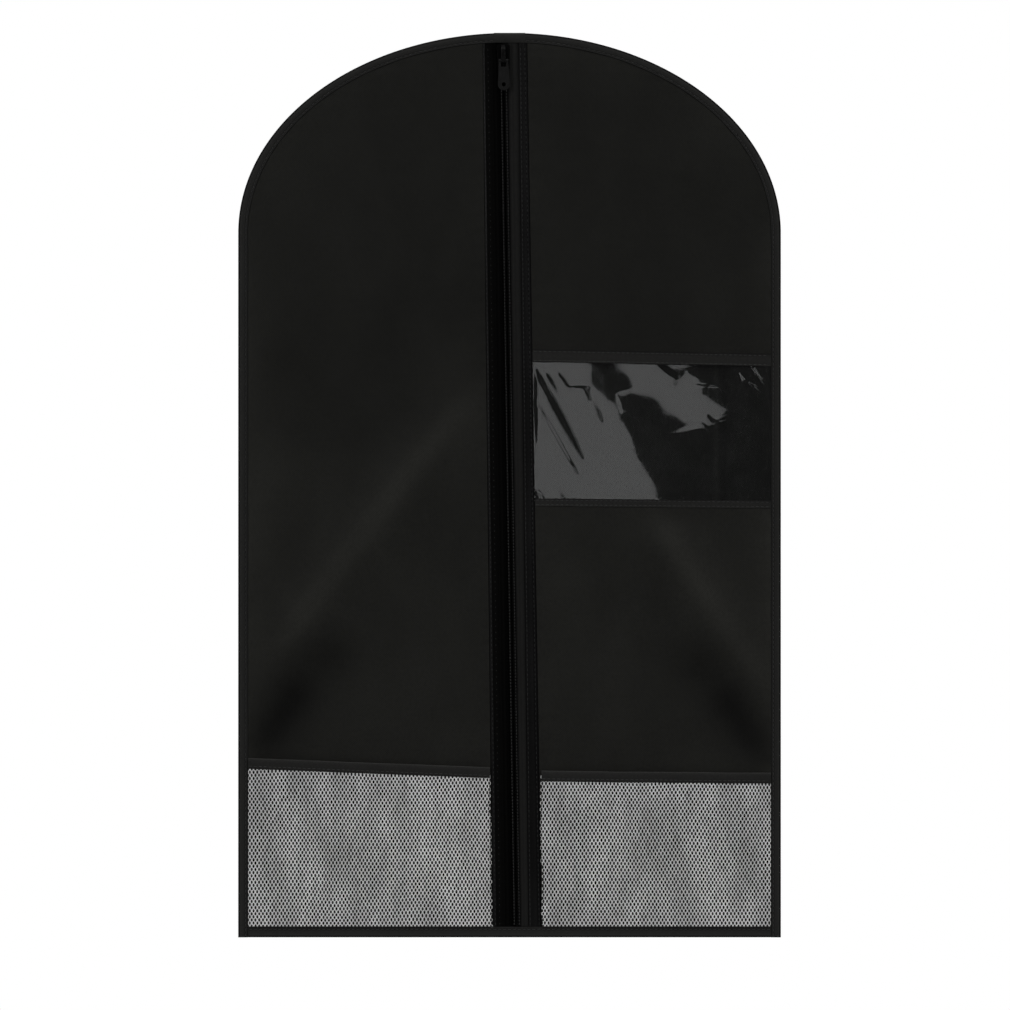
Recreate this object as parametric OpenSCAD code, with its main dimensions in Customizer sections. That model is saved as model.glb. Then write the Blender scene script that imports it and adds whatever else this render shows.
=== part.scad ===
// Garment bag with an arched top, a full-length front zip, a clear window and two net pockets.
// It hangs upright: X is its width, Z is up, and the front faces -Y.
// The origin is the middle of the hanger opening in the top seam. Millimetres.

/* [Bag] */
// Width of the bag
bag_width = 600; // [560:1:660]
// Height of the bag, from the hanger opening to the bottom edge
bag_height = 1000; // [960:1:1200]
// Height of the arched top
arch_height = 221; // [180:1:280]
// Thickness of the cloth
cloth = 0.6; // [0.4:0.1:0.8]
// Depth of the garment space behind the flat front
garment_depth = 13; // [12:0.5:24]
// Width of the border in which the back slopes out to that depth
back_slope = 59; // [40:1:80]

/* [Hanger opening] */
// Width of the opening in the top seam
opening_width = 32; // [30:1:50]
// Depth of the opening, front to back
opening_depth = 10; // [9:0.5:11]

/* [Bindings] */
// Width of the tape folded over the sides and the arch
edge_band = 11; // [9:0.5:14]
// Width of the tape folded over the bottom edge
bottom_band = 12; // [9:0.5:16]

/* [Zip] */
// Sideways place of the zip's middle line at the top
zip_top = -7.2; // [-12:0.1:4]
// Sideways place of the zip's middle line at the bottom
zip_bottom = 8.3; // [-4:0.1:12]
// Width of one coil half
coil_width = 3.6; // [2.5:0.1:4]
// Height of the coil above its tape
coil_height = 2.4; // [1.6:0.1:3]
// Gap between the two coil halves, for the slider's web
coil_gap = 1; // [0.9:0.05:1.4]
// Thickness of the clear film
film = 0.4; // [0.2:0.1:0.6]

/* [Edges beside the zip] */
// Outer edge of the narrow left placket, at the top
left_outer_top = -30; // [-34:0.5:-29]
// Outer edge of the narrow left placket, at the bottom
left_outer_bottom = -19; // [-24:0.5:-18]
// Edge of the left placket beside the zip, at the top
left_inner_top = -27.5; // [-28:0.5:-24]
// Edge of the left placket beside the zip, at the bottom
left_inner_bottom = -14; // [-16:0.5:-10]
// Edge of the right placket beside the zip, at the top
right_inner_top = 10; // [8:0.5:14]
// Edge of the right placket beside the zip, at the bottom
right_inner_bottom = 21; // [20:0.5:24]
// Outer edge of the right placket, at the top
right_outer_top = 19.5; // [17:0.5:24]
// Outer edge of the right placket, at the bottom
right_outer_bottom = 36; // [30:0.5:40]

/* [Window] */
// Top edge of the window at its zip side, below the origin
window_top_inner = 364; // [340:1:400]
// Top edge of the window at its outer side, below the origin
window_top_outer = 369; // [340:1:400]
// Bottom edge of the window at its zip side, below the origin
window_bottom_inner = 514.5; // [480:0.5:560]
// Bottom edge of the window at its outer side, below the origin
window_bottom_outer = 517; // [480:0.5:560]
// Height of the strip sewn over the window's top edge
top_hem = 14; // [8:0.5:20]
// Height of the strip sewn over the window's bottom edge
bottom_hem = 9; // [6:0.5:16]

/* [Net pockets] */
// Top of the left pocket at its outer side, below the origin
left_pocket_outer = 801.5; // [760:0.5:860]
// Top of the left pocket at its zip side, below the origin
left_pocket_inner = 812; // [760:0.5:860]
// Top of the right pocket at its zip side, below the origin
right_pocket_inner = 815.5; // [760:0.5:860]
// Top of the right pocket at its outer side, below the origin
right_pocket_outer = 818; // [760:0.5:860]
// Width of the tape folded over a pocket's top edge
pocket_band = 12; // [9:0.5:16]
// Depth of a pocket
pocket_depth = 4.8; // [4.6:0.1:8]
// Thickness of the net
net = 0.4; // [0.3:0.1:0.6]

/* [Slider and pull tab] */
// Top end of the slider, below the origin
slider_start = 13; // [12.5:0.5:20]
// Length of the slider
slider_length = 29; // [22:0.5:34]
// Width of the slider at its top end
slider_top_width = 14.5; // [13.5:0.1:16]
// Width of the slider at its bottom end
slider_bottom_width = 13; // [12.8:0.1:14]
// Distance of the pull tab's pivot below the slider's top end
pivot_drop = 18; // [16:0.5:20]
// Length of the pull tab, from its pivot to the middle of its hole
pull_length = 26.5; // [20:0.5:34]
// Width of the pull tab at its pivot
pull_top_width = 10.4; // [10:0.1:12]
// Width of the pull tab at its round end
pull_end_width = 13; // [11:0.1:14]
// Radius of the hole in the pull tab
pull_hole_r = 2.3; // [1.5:0.1:3]
// Radius of the pull tab's cross bar
pivot_r = 1; // [0.8:0.05:1.1]

/* [Hidden] */

half = bag_width / 2;
opening_half = opening_width / 2;
band_end = opening_half + 2 * cloth;   // where the side bindings stop at the opening
flat_border = max(edge_band, bottom_band);
sheet_inset = flat_border + back_slope;   // where the back's slope meets its rear sheet
seam = cloth + 0.1;                    // cloth edges stop this far inside the outline
tuck = 2.4;                            // straight strips stop this far below the top
lap = 3;                               // overlap that joins two shapes of one solid
past = 1;                              // how far a cutter runs past what it cuts
arch_steps = 36;
round_steps = 48;

// The layers, front to back
tape_back = -opening_depth / 2;
tape_front = tape_back - cloth;
panel_front = tape_front - cloth;
band_front = panel_front - cloth;
rim_back = tape_back + cloth;
band_back = rim_back + cloth;
back_inside = tape_back + garment_depth;
coil_front = tape_front - coil_height;
net_back = panel_front - pocket_depth;
net_front = net_back - net;

// The slider and its tab, in the zip's own frame
zip_tilt = atan((zip_bottom - zip_top) / bag_height);
slide_gap = 0.4;                       // running space round the chain
tape_overlap = 8;                      // tape hidden under each placket
slider_end = slider_start + slider_length;
plate = 1.5;                           // thickness of the slider's front plate
rear_plate = 1;                        // thickness of its rear plate
web = 0.4;                             // thickness of the web between its plates
plate_back = coil_front - slide_gap;
plate_front = plate_back - plate;
flange_inner = coil_gap / 2 + coil_width + 0.5;
flange_width = 1.8;
corner = 2.5;                          // corner radius of the plates
boss_r = 2.4;                          // round end of the bridge
bridge_half = 2.2;
pivot_y = plate_front - 2.1;
pivot_z = -slider_start - pivot_drop;
pivot_gap = 0.06;                      // radial clearance of the cross bar
pull_thick = 1.2;
pull_window = 7;                       // the fork's window reaches this far below the pivot
fork_inner = 2.9;
eye_r = 1.6;

function lean(top, bottom, z) = top - (bottom - top) * z / bag_height;
function left_outer(z) = lean(left_outer_top, left_outer_bottom, z);
function right_outer(z) = lean(right_outer_top, right_outer_bottom, z);

// Points along the arch, set in by d, from one x to another
function arch(d, x0, x1) = let (a = half - d, t0 = acos(x0 / a), t1 = acos(x1 / a))
    [for (i = [0:arch_steps]) let (t = t0 + (t1 - t0) * i / arch_steps)
        [a * cos(t), -arch_height + (arch_height - d) * sin(t)]];

// The bag's outline, set in by d
function outline(d) = concat([[d - half, d - bag_height]], arch(d, d - half, half - d),
    [[half - d, d - bag_height]]);

function backwards(points) = [for (i = [len(points) - 1:-1:0]) points[i]];

// One side of the border between two insets, from the bottom up to x = stop beside the opening
function border(side, d0, d1, stop, bottom) = concat([[side * (half - d0), bottom]],
    arch(d0, side * (half - d0), side * stop),
    backwards(arch(d1, side * (half - d1), side * stop)), [[side * (half - d1), bottom]]);

// A flat piece with the outline points in X and Z, between two depths
module slab(points, front, back) {
    translate([0, back, 0]) rotate([90, 0, 0]) linear_extrude(back - front) polygon(points);
}

// A box between two corners
module block(low, high) {
    translate(low) cube(high - low);
}

// The zip's frame: its Z axis runs along the chain
module on_zip() {
    translate([zip_top, 0, 0]) rotate([0, -zip_tilt, 0]) children();
}

// ---- Cloth panels ----

module bowl(shift) {
    hull() {
        slab(outline(flat_border), tape_back + shift, rim_back + shift);
        slab(outline(sheet_inset), back_inside + shift, back_inside + cloth + shift);
    }
}

module throat(wall, top) {
    reach = flat_border + back_slope * opening_depth / garment_depth + lap;
    block([-opening_half - wall, tape_back - past * (wall == 0 ? 1 : 0), -reach],
        [opening_half + wall, -tape_back + wall, top]);
}

// The whole back: a flat border, a slope and a rear sheet, with the throat under the opening
module back_shell() {
    difference() {
        union() {
            difference() {
                slab(outline(seam), tape_back, rim_back);
                slab(outline(flat_border + lap), tape_back - past, rim_back + past);
            }
            difference() {
                union() {
                    bowl(0);
                    throat(cloth, -seam);
                }
                bowl(-cloth);
            }
        }
        throat(0, past);
    }
}

// The part of the back outside the rear sheet, within an outline in X and Z
module back_border(points) {
    difference() {
        intersection() {
            back_shell();
            slab(points, band_front, back_inside + 2 * cloth);
        }
        slab(outline(sheet_inset), band_front - past, back_inside + 3 * cloth);
    }
}

module back_panel() {
    color("#1b1b1a") slab(outline(sheet_inset), back_inside, back_inside + cloth);
}

module back_side(side) {
    color("#1d1d1c") back_border([[side * half, -bag_height],
        [side * (half - sheet_inset), sheet_inset - bag_height],
        [side * (half - sheet_inset), -arch_height], [side * half, -arch_height]]);
}

module back_side_left() {
    back_side(-1);
}

module back_side_right() {
    back_side(1);
}

module back_side_bottom() {
    color("#1d1d1c") back_border([[-half, -bag_height], [half, -bag_height],
        [half - sheet_inset, sheet_inset - bag_height],
        [sheet_inset - half, sheet_inset - bag_height]]);
}

module back_shoulder(side) {
    near = side * (opening_half + cloth);
    color("#1d1d1c") back_border([[side * half, -arch_height], [side * half, 0], [near, 0],
        [near, -arch_height]]);
}

module back_shoulder_left() {
    back_shoulder(-1);
}

module back_shoulder_right() {
    back_shoulder(1);
}

module opening_throat() {
    reach = opening_half + cloth;
    color("#1f1f1e") back_border([[-reach, 0], [reach, 0], [reach, -arch_height],
        [-reach, -arch_height]]);
}

module front_left_panel() {
    edge = left_outer(0);
    color("#1a1a19") slab(concat([[seam - half, seam - bag_height]], arch(seam, seam - half, edge),
        [[left_outer(-bag_height), seam - bag_height]]), panel_front, tape_front);
}

// Heights of the seams hidden under the window's hems, at the zip side and the outer side
upper_seam = [-window_top_inner + top_hem / 2, -window_top_outer + top_hem / 2];
lower_seam = [-window_bottom_inner - bottom_hem / 2, -window_bottom_outer - bottom_hem / 2];

module front_right_upper_panel() {
    color("#1a1a19") slab(concat([[right_outer(upper_seam[0]), upper_seam[0]]],
        arch(seam, right_outer(0), half - seam), [[half - seam, upper_seam[1]]]),
        panel_front, tape_front);
}

module front_right_lower_panel() {
    color("#1a1a19") slab([[right_outer(lower_seam[0]), lower_seam[0]],
        [half - seam, lower_seam[1]], [half - seam, seam - bag_height],
        [right_outer(-bag_height), seam - bag_height]], panel_front, tape_front);
}

module window_film() {
    color("#9aa0a4", 0.35) slab([[right_outer(upper_seam[0]), upper_seam[0]],
        [half - seam, upper_seam[1]], [half - seam, lower_seam[1]],
        [right_outer(lower_seam[0]), lower_seam[0]]], panel_front, panel_front + film);
}

// A strip over one of the window's edges, between two heights at each side
module hem(inner_high, outer_high, inner_low, outer_low) {
    slab([[right_outer(inner_high), inner_high], [half - edge_band, outer_high],
        [half - edge_band, outer_low], [right_outer(inner_low), inner_low]],
        band_front, panel_front);
}

module window_top_hem() {
    color("#20201f") hem(-window_top_inner + top_hem, -window_top_outer + top_hem,
        -window_top_inner, -window_top_outer);
}

module window_bottom_hem() {
    color("#20201f") hem(-window_bottom_inner, -window_bottom_outer,
        -window_bottom_inner - bottom_hem, -window_bottom_outer - bottom_hem);
}

// ---- Plackets and zip ----

// A straight strip between two leaning edges, given by their places at the top and the bottom
module strip(edge0, edge1, front, back) {
    low = seam - bag_height;
    slab([[lean(edge0[0], edge0[1], -tuck), -tuck], [lean(edge1[0], edge1[1], -tuck), -tuck],
        [lean(edge1[0], edge1[1], low), low], [lean(edge0[0], edge0[1], low), low]], front, back);
}

module placket_left() {
    color("#20201f") strip([left_outer_top, left_outer_bottom], [left_inner_top, left_inner_bottom],
        panel_front, tape_front);
}

module placket_right() {
    color("#20201f") strip([right_inner_top, right_inner_bottom],
        [right_outer_top, right_outer_bottom], panel_front, tape_front);
}

module zip_tape_left() {
    color("#080808") strip([left_inner_top - tape_overlap, left_inner_bottom - tape_overlap],
        [zip_top - coil_gap / 2, zip_bottom - coil_gap / 2], tape_front, tape_back);
}

module zip_tape_right() {
    color("#111111") strip([zip_top + coil_gap / 2, zip_bottom + coil_gap / 2],
        [right_inner_top + tape_overlap, right_inner_bottom + tape_overlap],
        tape_front, tape_back);
}

// One half of the chain, as a plain bar between the top and the bottom bindings
module coil(side) {
    inner = side * coil_gap / 2;
    outer = side * (coil_gap / 2 + coil_width);
    on_zip() block([min(inner, outer), coil_front, bottom_band + past - bag_height],
        [max(inner, outer), tape_front, -edge_band - past]);
}

module zip_coil_left() {
    color("#151515") coil(-1);
}

module zip_coil_right() {
    color("#151515") coil(1);
}

// ---- Bindings ----

module edge_binding(side) {
    difference() {
        slab(border(side, 0, edge_band, band_end, -bag_height), band_front, band_back);
        slab(border(side, cloth, edge_band + past, band_end - past, cloth - bag_height),
            panel_front, rim_back);
    }
}

module edge_binding_left() {
    color("#212121") edge_binding(-1);
}

module edge_binding_right() {
    color("#212121") edge_binding(1);
}

module bottom_binding() {
    reach = half - edge_band;
    color("#212121") difference() {
        block([-reach, band_front, -bag_height], [reach, band_back, bottom_band - bag_height]);
        block([-reach - past, panel_front, cloth - bag_height],
            [reach + past, rim_back, bottom_band + past - bag_height]);
    }
}

module opening_binding_front() {
    color("#212121") union() {
        block([-band_end, band_front, -edge_band], [band_end, panel_front, 0]);
        block([-opening_half, band_front, -cloth], [opening_half, rim_back, 0]);
        block([-opening_half, tape_back, -edge_band], [opening_half, rim_back, 0]);
    }
}

module opening_binding_back() {
    color("#212121") difference() {
        block([-band_end, rim_back, -edge_band], [band_end, -tape_back + 2 * cloth, 0]);
        block([cloth - band_end, rim_back - past, -edge_band - past],
            [band_end - cloth, -tape_back + cloth, -cloth]);
        block([-opening_half, rim_back - past, -edge_band - past],
            [opening_half, -tape_back, past]);
    }
}

// ---- Net pockets ----

pocket_floor = bottom_band - bag_height;
side_wall = 0.6;

// The four corners of a pocket's front: x0 and z0 on one side, x1 and z1 on the other
function pocket_corners(x0, z0, x1, z1, x0_low, x1_low, low) =
    [[x0, z0], [x1, z1], [x1_low, low], [x0_low, low]];

// A band of the pocket's width, from rise above its top edge down to drop below it
module pocket_strip(x0, z0, x1, z1, rise, drop, front, back) {
    slab([[x0, z0 + rise], [x1, z1 + rise], [x1, z1 - drop], [x0, z0 - drop]], front, back);
}

// A shallow tray of net, open at its top, with low side walls and a floor against the panel
module net_tray(x0, z0, x1, z1, x1_low) {
    inset = x1 > x0 ? side_wall : -side_wall;
    difference() {
        slab(pocket_corners(x0, z0 - cloth, x1, z1 - cloth, x0, x1_low, pocket_floor),
            net_front, panel_front);
        slab(pocket_corners(x0 + inset, z0 + past, x1 - inset, z1 + past, x0 + inset,
            x1_low - inset, pocket_floor + side_wall), net_back, panel_front + past);
        pocket_strip(x0 - inset, z0, x1 + inset, z1, past, pocket_band, net_back,
            panel_front + past);
    }
}

// The tape folded over a net's top edge
module pocket_binding(x0, z0, x1, z1) {
    difference() {
        pocket_strip(x0, z0, x1, z1, 0, pocket_band, net_front - cloth, net_back + cloth);
        pocket_strip(x0, z0, x1, z1, -cloth, pocket_band + past, net_front, net_back);
    }
}

left_wall_x = edge_band - half;
right_wall_x = half - edge_band;

module pocket_net_left() {
    color("#8f8f8f") net_tray(left_wall_x, -left_pocket_outer, left_outer(-left_pocket_inner),
        -left_pocket_inner, left_outer(pocket_floor));
}

module pocket_net_right() {
    color("#8f8f8f") net_tray(right_wall_x, -right_pocket_outer,
        right_outer(-right_pocket_inner), -right_pocket_inner, right_outer(pocket_floor));
}

module pocket_binding_left() {
    color("#20201f") pocket_binding(left_wall_x, -left_pocket_outer,
        left_outer(-left_pocket_inner), -left_pocket_inner);
}

module pocket_binding_right() {
    color("#20201f") pocket_binding(right_wall_x, -right_pocket_outer,
        right_outer(-right_pocket_inner), -right_pocket_inner);
}

// ---- Slider and pull tab ----

// A plate with round corners, narrower at its lower end, between two depths
module slider_plate(front, back) {
    top = slider_top_width / 2;
    low = slider_bottom_width / 2;
    translate([0, back, 0]) rotate([90, 0, 0]) linear_extrude(back - front) union() {
        polygon([[corner - top, -slider_start], [top - corner, -slider_start],
            [top, -slider_start - corner], [low, corner - slider_end], [low - corner, -slider_end],
            [corner - low, -slider_end], [-low, corner - slider_end],
            [-top, -slider_start - corner]]);
        for (side = [-1, 1]) {
            translate([side * (top - corner), -slider_start - corner])
                circle(corner, $fn = round_steps);
            translate([side * (low - corner), corner - slider_end])
                circle(corner, $fn = round_steps);
        }
    }
}

// The bridge that holds the tab: a sloping arch with a round end and a window under it
module bridge() {
    rise = 3.5;
    crown = pivot_y - boss_r;
    root = plate_front + 0.3;
    difference() {
        rotate([90, 0, 90]) translate([0, 0, -bridge_half]) linear_extrude(2 * bridge_half) union() {
            polygon([[root, -slider_start - 0.8], [plate_front - 1, -slider_start - 0.8],
                [crown, -slider_start - rise - 2], [crown, pivot_z], [root, pivot_z]]);
            translate([pivot_y, pivot_z]) circle(boss_r, $fn = round_steps);
        }
        block([-bridge_half - past, pivot_y - 0.3, pivot_z + 3.4],
            [bridge_half + past, plate_front, -slider_start - rise]);
        translate([-bridge_half - past, pivot_y, pivot_z]) rotate([0, 90, 0])
            cylinder(h = 2 * (bridge_half + past), r = pivot_r + pivot_gap, $fn = round_steps);
    }
}

module slider_body() {
    color("#1c1c1d") on_zip() union() {
        slider_plate(plate_front, plate_back);
        slider_plate(tape_back + slide_gap, tape_back + slide_gap + rear_plate);
        block([-web / 2, plate_back - 0.1, -slider_end + past],
            [web / 2, tape_back + slide_gap + 0.1, -slider_start - past]);
        for (side = [-1, 1])
            block([side > 0 ? flange_inner : -flange_inner - flange_width, plate_back - 0.1,
                -slider_end + corner],
                [side > 0 ? flange_inner + flange_width : -flange_inner,
                tape_front - slide_gap, -slider_start - corner]);
        bridge();
    }
}

module pull_tab() {
    top = pull_top_width / 2;
    low = pull_end_width / 2;
    color("#1c1c1d") on_zip() translate([0, pivot_y, pivot_z]) {
        difference() {
            translate([0, pull_thick / 2, 0]) rotate([90, 0, 0]) linear_extrude(pull_thick) union() {
                polygon([[-top, 0], [top, 0], [low, -pull_length], [-low, -pull_length]]);
                translate([0, -pull_length]) circle(low, $fn = 2 * round_steps);
            }
            block([-fork_inner, -pull_thick, -pull_window], [fork_inner, pull_thick, past]);
            translate([0, pull_thick, -pull_length]) rotate([90, 0, 0])
                cylinder(h = 2 * pull_thick, r = pull_hole_r, $fn = round_steps);
        }
        for (side = [-1, 1])
            translate([side > 0 ? fork_inner : -top, 0, 0]) rotate([0, 90, 0])
                cylinder(h = top - fork_inner, r = eye_r, $fn = round_steps);
        translate([-fork_inner - 0.2, 0, 0]) rotate([0, 90, 0])
            cylinder(h = 2 * (fork_inner + 0.2), r = pivot_r, $fn = round_steps);
    }
}

back_panel();
back_side_left();
back_side_right();
back_side_bottom();
back_shoulder_left();
back_shoulder_right();
opening_throat();
front_left_panel();
front_right_upper_panel();
front_right_lower_panel();
window_film();
window_top_hem();
window_bottom_hem();
placket_left();
placket_right();
zip_tape_left();
zip_tape_right();
zip_coil_left();
zip_coil_right();
edge_binding_left();
edge_binding_right();
bottom_binding();
opening_binding_front();
opening_binding_back();
pocket_net_left();
pocket_net_right();
pocket_binding_left();
pocket_binding_right();
slider_body();
pull_tab();
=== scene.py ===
"""Garment bag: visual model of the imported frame, in metres, front facing -Y, hanging from the origin.

Cloth, net, film and bindings are built here as closed thin sheets with their folds, seams and
stitches. The coil is wound. The metal slider and tab are softened copies of their CAD shapes.
Lengths are millimetres unless a name says otherwise.
"""
import math

import bmesh
import bpy
import numpy as np
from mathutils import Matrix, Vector


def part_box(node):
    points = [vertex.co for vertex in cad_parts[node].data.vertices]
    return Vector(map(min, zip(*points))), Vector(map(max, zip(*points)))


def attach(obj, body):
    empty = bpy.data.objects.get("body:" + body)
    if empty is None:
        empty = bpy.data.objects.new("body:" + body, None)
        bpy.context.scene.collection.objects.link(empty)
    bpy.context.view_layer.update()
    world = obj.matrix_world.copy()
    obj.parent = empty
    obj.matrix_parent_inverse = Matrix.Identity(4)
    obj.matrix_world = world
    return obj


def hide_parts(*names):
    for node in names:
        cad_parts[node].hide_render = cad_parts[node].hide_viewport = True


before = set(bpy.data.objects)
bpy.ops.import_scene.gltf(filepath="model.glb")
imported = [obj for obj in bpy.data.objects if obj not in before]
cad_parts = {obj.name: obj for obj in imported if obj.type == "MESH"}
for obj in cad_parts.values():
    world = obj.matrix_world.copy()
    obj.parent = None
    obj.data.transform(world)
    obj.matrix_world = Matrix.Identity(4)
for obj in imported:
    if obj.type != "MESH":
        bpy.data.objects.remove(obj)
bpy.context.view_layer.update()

MM = 0.001


def box_mm(node):
    """A CAD node's lowest and highest corners, in millimetres."""
    low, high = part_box(node)
    return [1000 * v for v in low], [1000 * v for v in high]


def middle_y(node):
    """The middle of a flat CAD node's depth."""
    low, high = box_mm(node)
    return (low[1] + high[1]) / 2


# ---- Places taken from the frame ----

HALF = box_mm("edge_binding_right")[1][0]           # half the bag's width
HEIGHT = -box_mm("edge_binding_right")[0][2]        # from the opening to the bottom edge
ARCH = -box_mm("back_side_left")[1][2]              # height of the arched top
PANEL_MID = middle_y("front_left_panel")
TAPE_MID = middle_y("zip_tape_left")
HEM_MID = middle_y("window_top_hem")
FILM_MID = middle_y("window_film")
REAR = middle_y("back_panel")
BAND_FRONT = box_mm("edge_binding_left")[0][1]
BAND_BACK = box_mm("edge_binding_left")[1][1]
REAR_INSET = HALF - box_mm("back_panel")[1][0]      # where the back's slope meets its rear sheet
OPENING_END = box_mm("opening_binding_front")[1][0]
THROAT_HALF = box_mm("opening_throat")[1][0]
THROAT_BACK = box_mm("opening_binding_back")[1][1] - 0.9
COIL_FRONT = box_mm("zip_coil_left")[0][1]
NET_FRONT = box_mm("pocket_net_left")[0][1]
POCKET_FLOOR = box_mm("pocket_net_left")[0][2]
SEAM = 0.7                                          # cloth stops this far inside the outline
EDGE_BAND = 11                                      # width of the side bindings
BOTTOM_BAND = 12
STITCH_PITCH = 5.4
WINDOW_SIDE = 289                                   # where window and pockets end at a side seam
CLOTH_THICK = 0.6
FILM_THICK = 0.35
STRIP_THICK = 0.55
TAPE_THICK = 0.45


def edge(top, bottom):
    """A line that leans from x = top at the origin's height to x = bottom at the bottom edge."""
    return lambda z: top - (bottom - top) * z / HEIGHT


left_outer = edge(-30, -19)
left_inner = edge(-27.5, -14)
right_inner = edge(10, 21)
right_outer = edge(19.5, 36)
zip_middle = edge(-7.2, 8.3)


# ---- Surfaces ----

def ease(t):
    """A smooth step from 0 at t = 0 to 1 at t = 1."""
    t = np.clip(t, 0, 1)
    return t * t * (3 - 2 * t)


def noise(x, z, cell, seed):
    """Smooth seeded noise from -1 to 1, with features about one cell wide."""
    table = np.random.default_rng(seed).uniform(-1, 1, (64, 64))
    u = np.asarray(x, float) / cell + 512
    v = np.asarray(z, float) / cell + 1024
    i = np.floor(u).astype(int)
    j = np.floor(v).astype(int)
    a = ease(u - i)
    b = ease(v - j)
    i, i_next = i % 64, (i + 1) % 64
    j, j_next = j % 64, (j + 1) % 64
    low = table[i, j] * (1 - a) + table[i_next, j] * a
    high = table[i, j_next] * (1 - a) + table[i_next, j_next] * a
    return low * (1 - b) + high * b


def inset_of(x, z):
    """How far a point lies inside the bag's outline."""
    low = np.zeros_like(x)
    high = np.full_like(x, ARCH - 1.0)
    rise = np.maximum(z + ARCH, 0)
    for _ in range(22):                             # halving steps, fine to a thousandth
        middle = (low + high) / 2
        inside = (x / (HALF - middle)) ** 2 + (rise / (ARCH - middle)) ** 2 < 1
        low = np.where(inside, middle, low)
        high = np.where(inside, high, middle)
    return np.minimum(low, z + HEIGHT)


def along_and_across(x, z, x0, z0, x1, z1):
    """A point's place along a line, 0 to 1 between its ends, and its distance to one side."""
    length = math.hypot(x1 - x0, z1 - z0)
    ux, uz = (x1 - x0) / length, (z1 - z0) / length
    along = ((x - x0) * ux + (z - z0) * uz) / length
    return along, (x - x0) * uz - (z - z0) * ux


def fold(x, z, x0, z0, x1, z1, width, height):
    """A rounded ridge (or hollow, if height is negative) along a line, fading at both ends."""
    along, across = along_and_across(x, z, x0, z0, x1, z1)
    ends = ease(along / 0.3 + 0.2) * ease((1 - along) / 0.3 + 0.2)
    return height * np.exp(-(across / width) ** 2) * ends


# x0, z0, x1, z1, width, height of each soft fold in the front cloth
FOLDS = [
    (-35, -385, -275, -700, 34, 4.4),
    (-110, -120, -215, -330, 38, 1.2),
    (-60, -210, -150, -400, 24, -0.7),
    (-255, -330, -150, -560, 24, -0.8),
    (-188, -676, -288, -812, 30, -3.2),
    (-190, -640, -70, -770, 30, 0.8),
    (145, -515, 285, -715, 32, 4.0),
    (60, -560, 150, -700, 28, -0.8),
    (204, -690, 290, -818, 30, -3.2),
    (60, -120, 170, -320, 36, 1.1),
    (150, -110, 240, -260, 26, -0.7),
    (70, -690, 180, -780, 28, 0.7),
]
# x0, z0, x1, z1 and strength of the painted highlights along the fold crests
PAINTED_HIGHLIGHT_LINES = [(-40, -392, -276, -704, 0.78), (150, -518, 288, -728, 0.65)]
# x0, z0, x1, z1, width and strength of the painted shade in the fold hollows
PAINTED_SHADE_HOLLOWS = [
    (-176, -652, -292, -808, 32, 0.65),
    (-222, -712, -298, -816, 22, 0.6),
    (190, -664, 294, -818, 32, 0.65),
    (226, -714, 302, -826, 22, 0.6),
]


def fold_light_and_shade(x, z):
    """Painted highlights along the two long folds and painted shade in the hollows below them, lighter
    below the left crest, low down and near the sides, from -1 to 1.
    """
    left_line = -392 + (x + 40) * 314 / 242         # height of the left crest at x
    below_line = np.where(x < 0, ease((left_line - z) / 50 + 0.5), 0)
    lower = np.maximum(below_line, ease((-425 - z) / 70))
    # Painted light: lighter below the left crest, low down and near the side edges, with some random
    # tone
    tone = 0.34 * lower - 0.16 + 0.1 * noise(x, z, 60, 11)
    near_edge = np.exp(-np.maximum(inset_of(x, z) - EDGE_BAND, 0) / 24)
    tone = tone + (0.25 + 0.3 * ease((-190 - z) / 80)) * near_edge
    # Painted highlights on the crests, then painted shade in the hollows
    for x0, z0, x1, z1, rub_and_painted_light in PAINTED_HIGHLIGHT_LINES:
        tone = tone + fold(x, z, x0, z0, x1, z1, 13, rub_and_painted_light)
        tone = tone + fold(x, z, x0, z0, x1, z1, 32, 0.25)
    for line in PAINTED_SHADE_HOLLOWS:
        tone = tone - fold(x, z, *line)
    return np.clip(tone, -1, 1)


def billow(x, z):
    """How far the front cloth stands forward of its flat place."""
    rise = 0.6 + 0.45 * noise(x, z, 85, 1) + 0.2 * noise(x + z, z - x, 34, 2)
    for one in FOLDS:
        rise = rise + fold(x, z, *one)
    calm = ease((inset_of(x, z) - 9) / 55) * ease(beside_zip(x, z) / 45)
    window = np.where(x > 0, ease(np.maximum(z + 346, -530 - z) / 40), 1)
    pockets = 1 - 0.75 * ease((-770 - z) / 50)
    return rise * calm * window * pockets


def pucker(distance, along, seed):
    """Small gathers beside a row of stitches."""
    swing = np.sin(along / 2.9 + 2.5 * noise(along, distance * 0 + 3, 40, seed))
    return 0.22 * swing * np.exp(-np.abs(distance) / 7)


def beside_zip(x, z):
    """Distance from the placket's outer line on the point's own side."""
    return np.where(x < 0, left_outer(z) - x, x - right_outer(z))


def front_relief(x, z):
    """The folds, the gathers along the seams and the small creases of the front cloth."""
    inset = inset_of(x, z)
    around = np.where(inset == z + HEIGHT, x, z)
    creases = 0.12 * noise(x, z, 11, 5) * ease((inset - 8) / 20)
    gathers = pucker(inset - EDGE_BAND, around, 7) + pucker(beside_zip(x, z), z, 8)
    return billow(x, z) + gathers + creases


# ---- Mesh building ----

def placed(name, data):
    """A new object in the scene."""
    obj = bpy.data.objects.new(name, data)
    bpy.context.scene.collection.objects.link(obj)
    return obj


def new_object(name, verts, faces, smooth=35):
    """An object from points in millimetres, shaded smooth except over sharp edges."""
    mesh = bpy.data.meshes.new(name)
    mesh.from_pydata((np.asarray(verts, float) * MM).tolist(), [], faces)
    mesh.validate()
    mesh.shade_smooth()
    mesh.set_sharp_from_angle(angle=math.radians(smooth))
    return placed(name, mesh)


def finish_piece(obj, body, material, nodes=()):
    """Say which body a piece moves with and the CAD nodes it stands for."""
    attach(obj, body)
    if nodes:
        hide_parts(*nodes)
    obj.data.materials.clear()
    obj.data.materials.append(material)


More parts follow.
